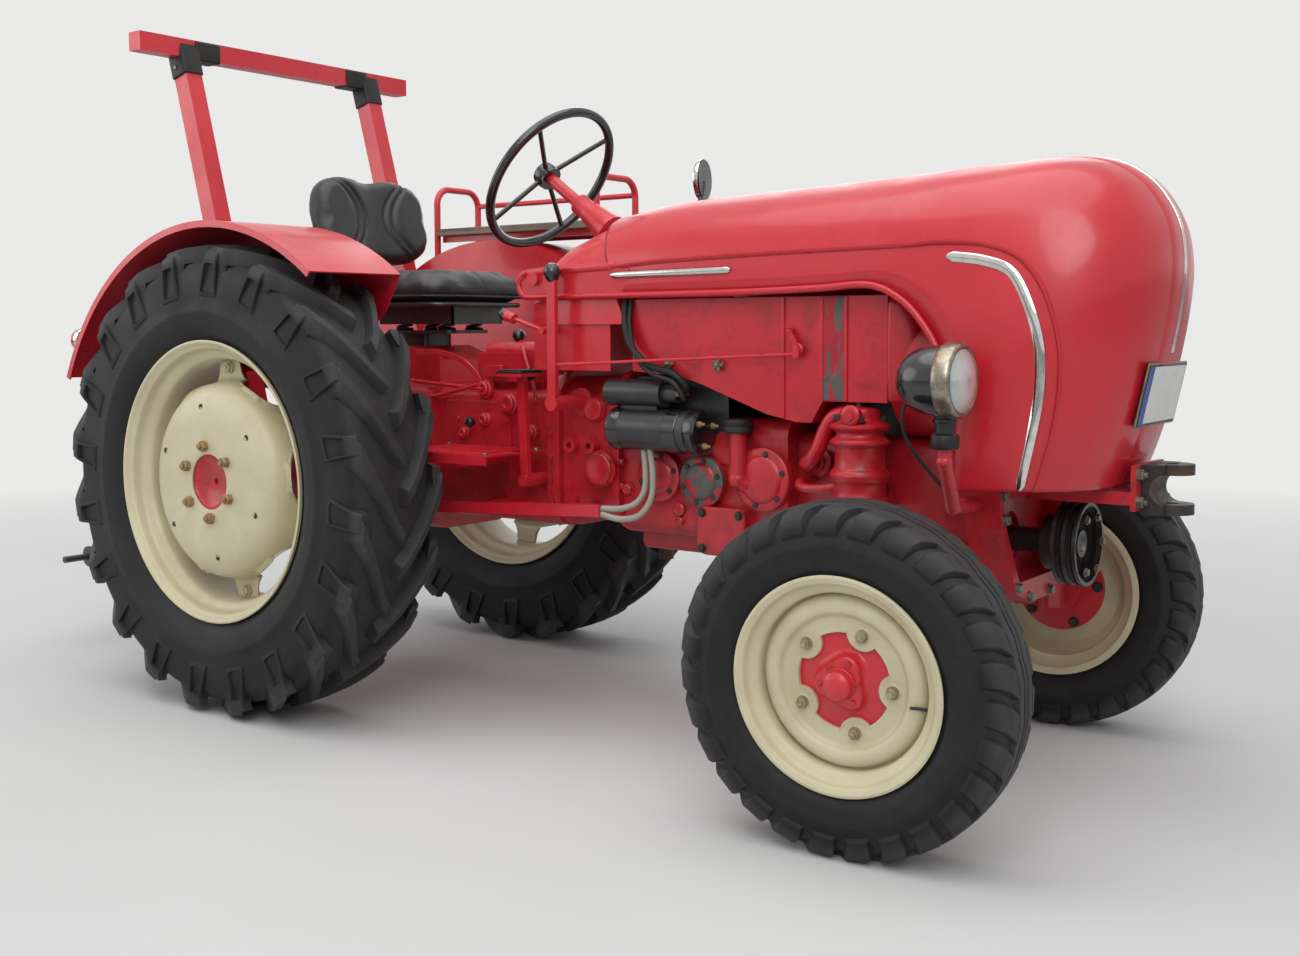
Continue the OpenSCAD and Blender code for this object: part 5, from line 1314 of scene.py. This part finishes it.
def make_cab():
    # Steering wheel cap and column collar
    d = (Vector((616, 0, 1466)) - Vector((790, 0, 1340))).normalized()
    wheel_middle = at(616, 0, 1466)
    m = aimed(wheel_middle, d)
    piece("steering_cap", turned([(34.5, 6), (36, 12), (36, 30), (33, 38), (24, 43), (22, 42), (10, 44), (0.2, 44.5)],
            m, 40), BLACK_GLOSS, "steering_wheel")
    collar = aimed(wheel_middle - d * 0.125, d)
    piece("column_collar", turned([(18, -8), (24, -6), (26, 0), (24, 6), (18, 8)], collar, 36), BODY_PAINT)
    boot = aimed(at(790, 0, 1340) + d * 0.02, d)
    piece("column_boot", turned([(46, -66), (42, -44), (37, -16), (34, 4), (32, 20), (29.6, 32)], boot, 40),
            BODY_PAINT)
    # Instruments on the cowl's rear face
    back = Vector((-0.94, 0, 0.34)).normalized()
    for k, (x, y, z, r) in enumerate(((768, -95, 1218, 34), (768, 95, 1218, 34), (764, 0, 1208, 24))):
        g = aimed(at(x, y, z), back)
        piece("gauge_rim_%d" % k, turned([(r - 3, -16), (r + 1, 2), (r + 3, 6), (r + 2, 10), (r - 3, 11), (r - 4, 6)],
                g, 36), CHROME)
        piece("gauge_face_%d" % k, turned([(r - 3, 3), (r - 3, 7), (r * 0.4, 8), (0.2, 8.2)], g, 36), BLACK_GLOSS)
    # Gearbox linkages, gear lever stub and their bosses
    parts = [swept(curve_points([at(226, -150, 984), at(330, -166, 984), at(420, -176, 966), at(486, -181, 928),
            at(520, -183, 880)], 6), [(-8, -2.5), (8, -2.5), (8, 2.5), (-8, 2.5)], up=(0, 1, 0)),
            rod([(240, -184, 902), (380, -188, 893), (522, -190, 884)], 6, 10, 4),
            rod([(256, -184, 846), (380, -190, 868), (505, -192, 896)], 6, 10, 4),
            rod([(632, -150, 1004), (668, -168, 956), (700, -182, 900), (716, -186, 850)], 5, 10, 5),
            rod([(600, -72, 905), (590, -80, 958), (570, -88, 1018)], 11, 14, 5),
            turned([(44, -8), (44, 2), (38, 6), (30, 8), (24, 22), (17, 34), (15, 38), (0.2, 38)],
            placed(600, -72, 905), 40)]
    for x, y, z, r in ((520, -180, 884, 22), (520, -180, 800, 17), (440, -178, 760, 15), (610, -180, 846, 26),
            (690, -182, 770, 18)):
        parts.append(turned([(r + 4, -14), (r + 3, 0), (r - 2, 3), (r - 2, 10), (r - 5, 13), (r * 0.45, 13.5),
                (r * 0.4, 8), (0.2, 8)], aimed(at(x, y, z), RIGHTWARD), 36))
    for x, z in ((560, 920), (570, 690)):
        parts.append(prism(outline_round(x - 34, -190, x + 34, -168, 8, 4), z, z + 30, FLAT))
    piece("gearbox_linkage", joined(parts), ENGINE_PAINT, smooth=40, bevel=0.0008)
    piece("gear_lever_knobs", joined([turned([(11, -14), (17, -8), (19, 2), (16, 11), (9, 17), (0.2, 18.5)],
            aimed(at(569, -89, 1030), (-0.3, -0.12, 0.95)), 28), turned([(5, -16), (12, -11), (15, -2), (13, 7),
            (7, 12), (0.2, 13.5)], aimed(at(486, -206, 792), RIGHTWARD), 28),
            turned([(9, -14), (15, -12), (15, 12), (9, 14)], aimed(at(690, -184, 926), (0.5, -0.3, -0.8)), 24)]),
            BLACK_GLOSS)
    # Lever knob and throttle knob
    piece("lever_knob", turned([(8, -26), (15, -20), (21, -8), (23, 0), (20, 11), (12, 20), (0.2, 23.5)],
            placed(886, -318, 1192), 32), BLACK_GLOSS)
    piece("small_lever_knob", turned([(4, -16), (10, -13), (14.5, -5), (15, 2), (12, 10), (6, 14), (0.2, 15)],
                                             aimed(at(722, -318, 1085), (-0.96, 0, 0.28)), 28), BLACK_GLOSS)
    # Mirror glass and rim
    m = placed(822, 450, 1487, 15) @ Matrix.Rotation(-pi / 2, 4, "Y")
    piece("mirror_glass", turned([(55, 6), (55, 9), (40, 10), (0.2, 10.5)], m, 48), MIRROR)
    piece("mirror_rim", turned([(54, 4), (60.5, -4), (61, 5), (58, 11), (54, 10)], m, 48, closed=True), CHROME)
    # Board: three planks with their bolts
    x0, x1, y0, y1 = -266, 404, 430, 692
    width = (y1 - y0 - 12) / 3
    parts = [box((x0, y0 + k * (width + 6), 1365), (x1, y0 + k * (width + 6) + width, 1389)) for k in range(3)]
    board = piece("board_planks", joined(parts), WOOD, bevel=0.003)
    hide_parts("passenger_board")
    places = [(at(x, y, 1389), (0, 0, 1)) for x in (-235, 70, 374) for y in (472, 561, 650)]
    bolts("board_bolts", places, DARK_IRON, flats=12, height=3)
    # Rubber clamps where the roll bar's parts meet; it leans back from its foot by a share of its height
    lean, foot_x, foot_z = 0.279, -222, 756
    for side, tag in SIDES:
        parts = []
        for z in (1862, 1150):
            x = foot_x - lean * (z - foot_z)
            along = Vector((-lean, 0, 1)).normalized()
            q = aimed(at(x, side * 366, z), along)
            parts.append(prism(outline_round(-35, -35, 35, 35, 9, 4), -46, 46, q))
        x = foot_x - lean * (1890 - foot_z)
        parts.append(prism(outline_round(-33, -33, 33, 27.3, 7, 4), -44, 44, placed(x, side * 300, 1902.5, 90, "X")))
        piece("bar_clamps_" + tag, joined(parts), HOSE, bevel=0.002)
        places = [(at(foot_x - lean * (z - foot_z), side * 399, z + dz), (0, side, 0)) for z in (1862, 1150)
                for dz in (-18, 18)]
        bolts("clamp_bolts_" + tag, places, ZINC, flats=13, height=6)
    # Seat frame: pan with a rolled rim, coil springs, pedestal and the flat arms behind the backrest
    pan = [at(x, y, 1120) for x, y in outline_round(-58, -188, 358, 188, 70, 6)]
    parts = [prism(outline_round(-60, -190, 360, 190, 72, 6), 1116, 1122, FLAT),
             swept(pan, ring(7, 10), cyclic=True),
             prism(outline_round(40, -90, 300, 90, 30, 5), 1036, 1046, FLAT),
             prism(outline_round(60, -60, 170, 60, 18, 5), 1000, 1038, FLAT)]
    parts += [box((24, y, 1064), (328, y + 6, 1117)) for y in (-104, 98)] + [box((322, -104, 1064), (328, 104, 1117))]
    for y in (-58, 58):
        for x in (82, 258):
            path = [at(x + 21 * cos(k * pi / 9), y + 21 * sin(k * pi / 9), 1048 + 66 * k / 90) for k in range(91)]
            parts.append(swept(path, ring(4.2, 8)))
            parts.append(turned([(26, 1044), (28, 1048), (26, 1052), (12, 1054), (0.2, 1054)], placed(x, y, 0), 28))
    for y in (-62, 62):
        arm = curve_points([at(60, y, 1112), at(-60, y, 1111), at(-112, y, 1113), at(-134, y, 1126),
                at(-142, y, 1158), at(-160, y, 1240), at(-190, y, 1382)], 4)
        parts.append(swept(arm, [(-3.5, -10), (3.5, -10), (3.5, 10), (-3.5, 10)], up=(0, 1, 0)))
    springs = piece("seat_springs", joined(parts), BLACK_PAINT, smooth=35)
    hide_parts("seat_frame")


def dress_nodes():
    """Materials of the CAD nodes that stay in view."""
    table = {
        BODY_PAINT: "dash_cowl footplates fender_right fender_left roll_bar passenger_rails controls",
        ENGINE_PAINT: "engine_block air_shroud clutch_housing transmission rear_axle hydraulic_block front_support "
                      "front_axle knuckle_right knuckle_left lift_arms",
        BLACK_PAINT: "starter_motor tie_rod lower_links lift_rods crank_pulley side_mirror tail_lamps",
        BLACK_GLOSS: "steering_wheel",
        DARK_IRON: "tow_jaw cylinder_bank",
        IRON: "exhaust"}
    for material, names in table.items():
        for name in names.split():
            slots = nodes[name].material_slots
            for slot in slots:
                slot.material = material
            if not slots:
                nodes[name].data.materials.append(material)


make_lamps()
make_front()
make_engine()
make_cab()
dress_nodes()
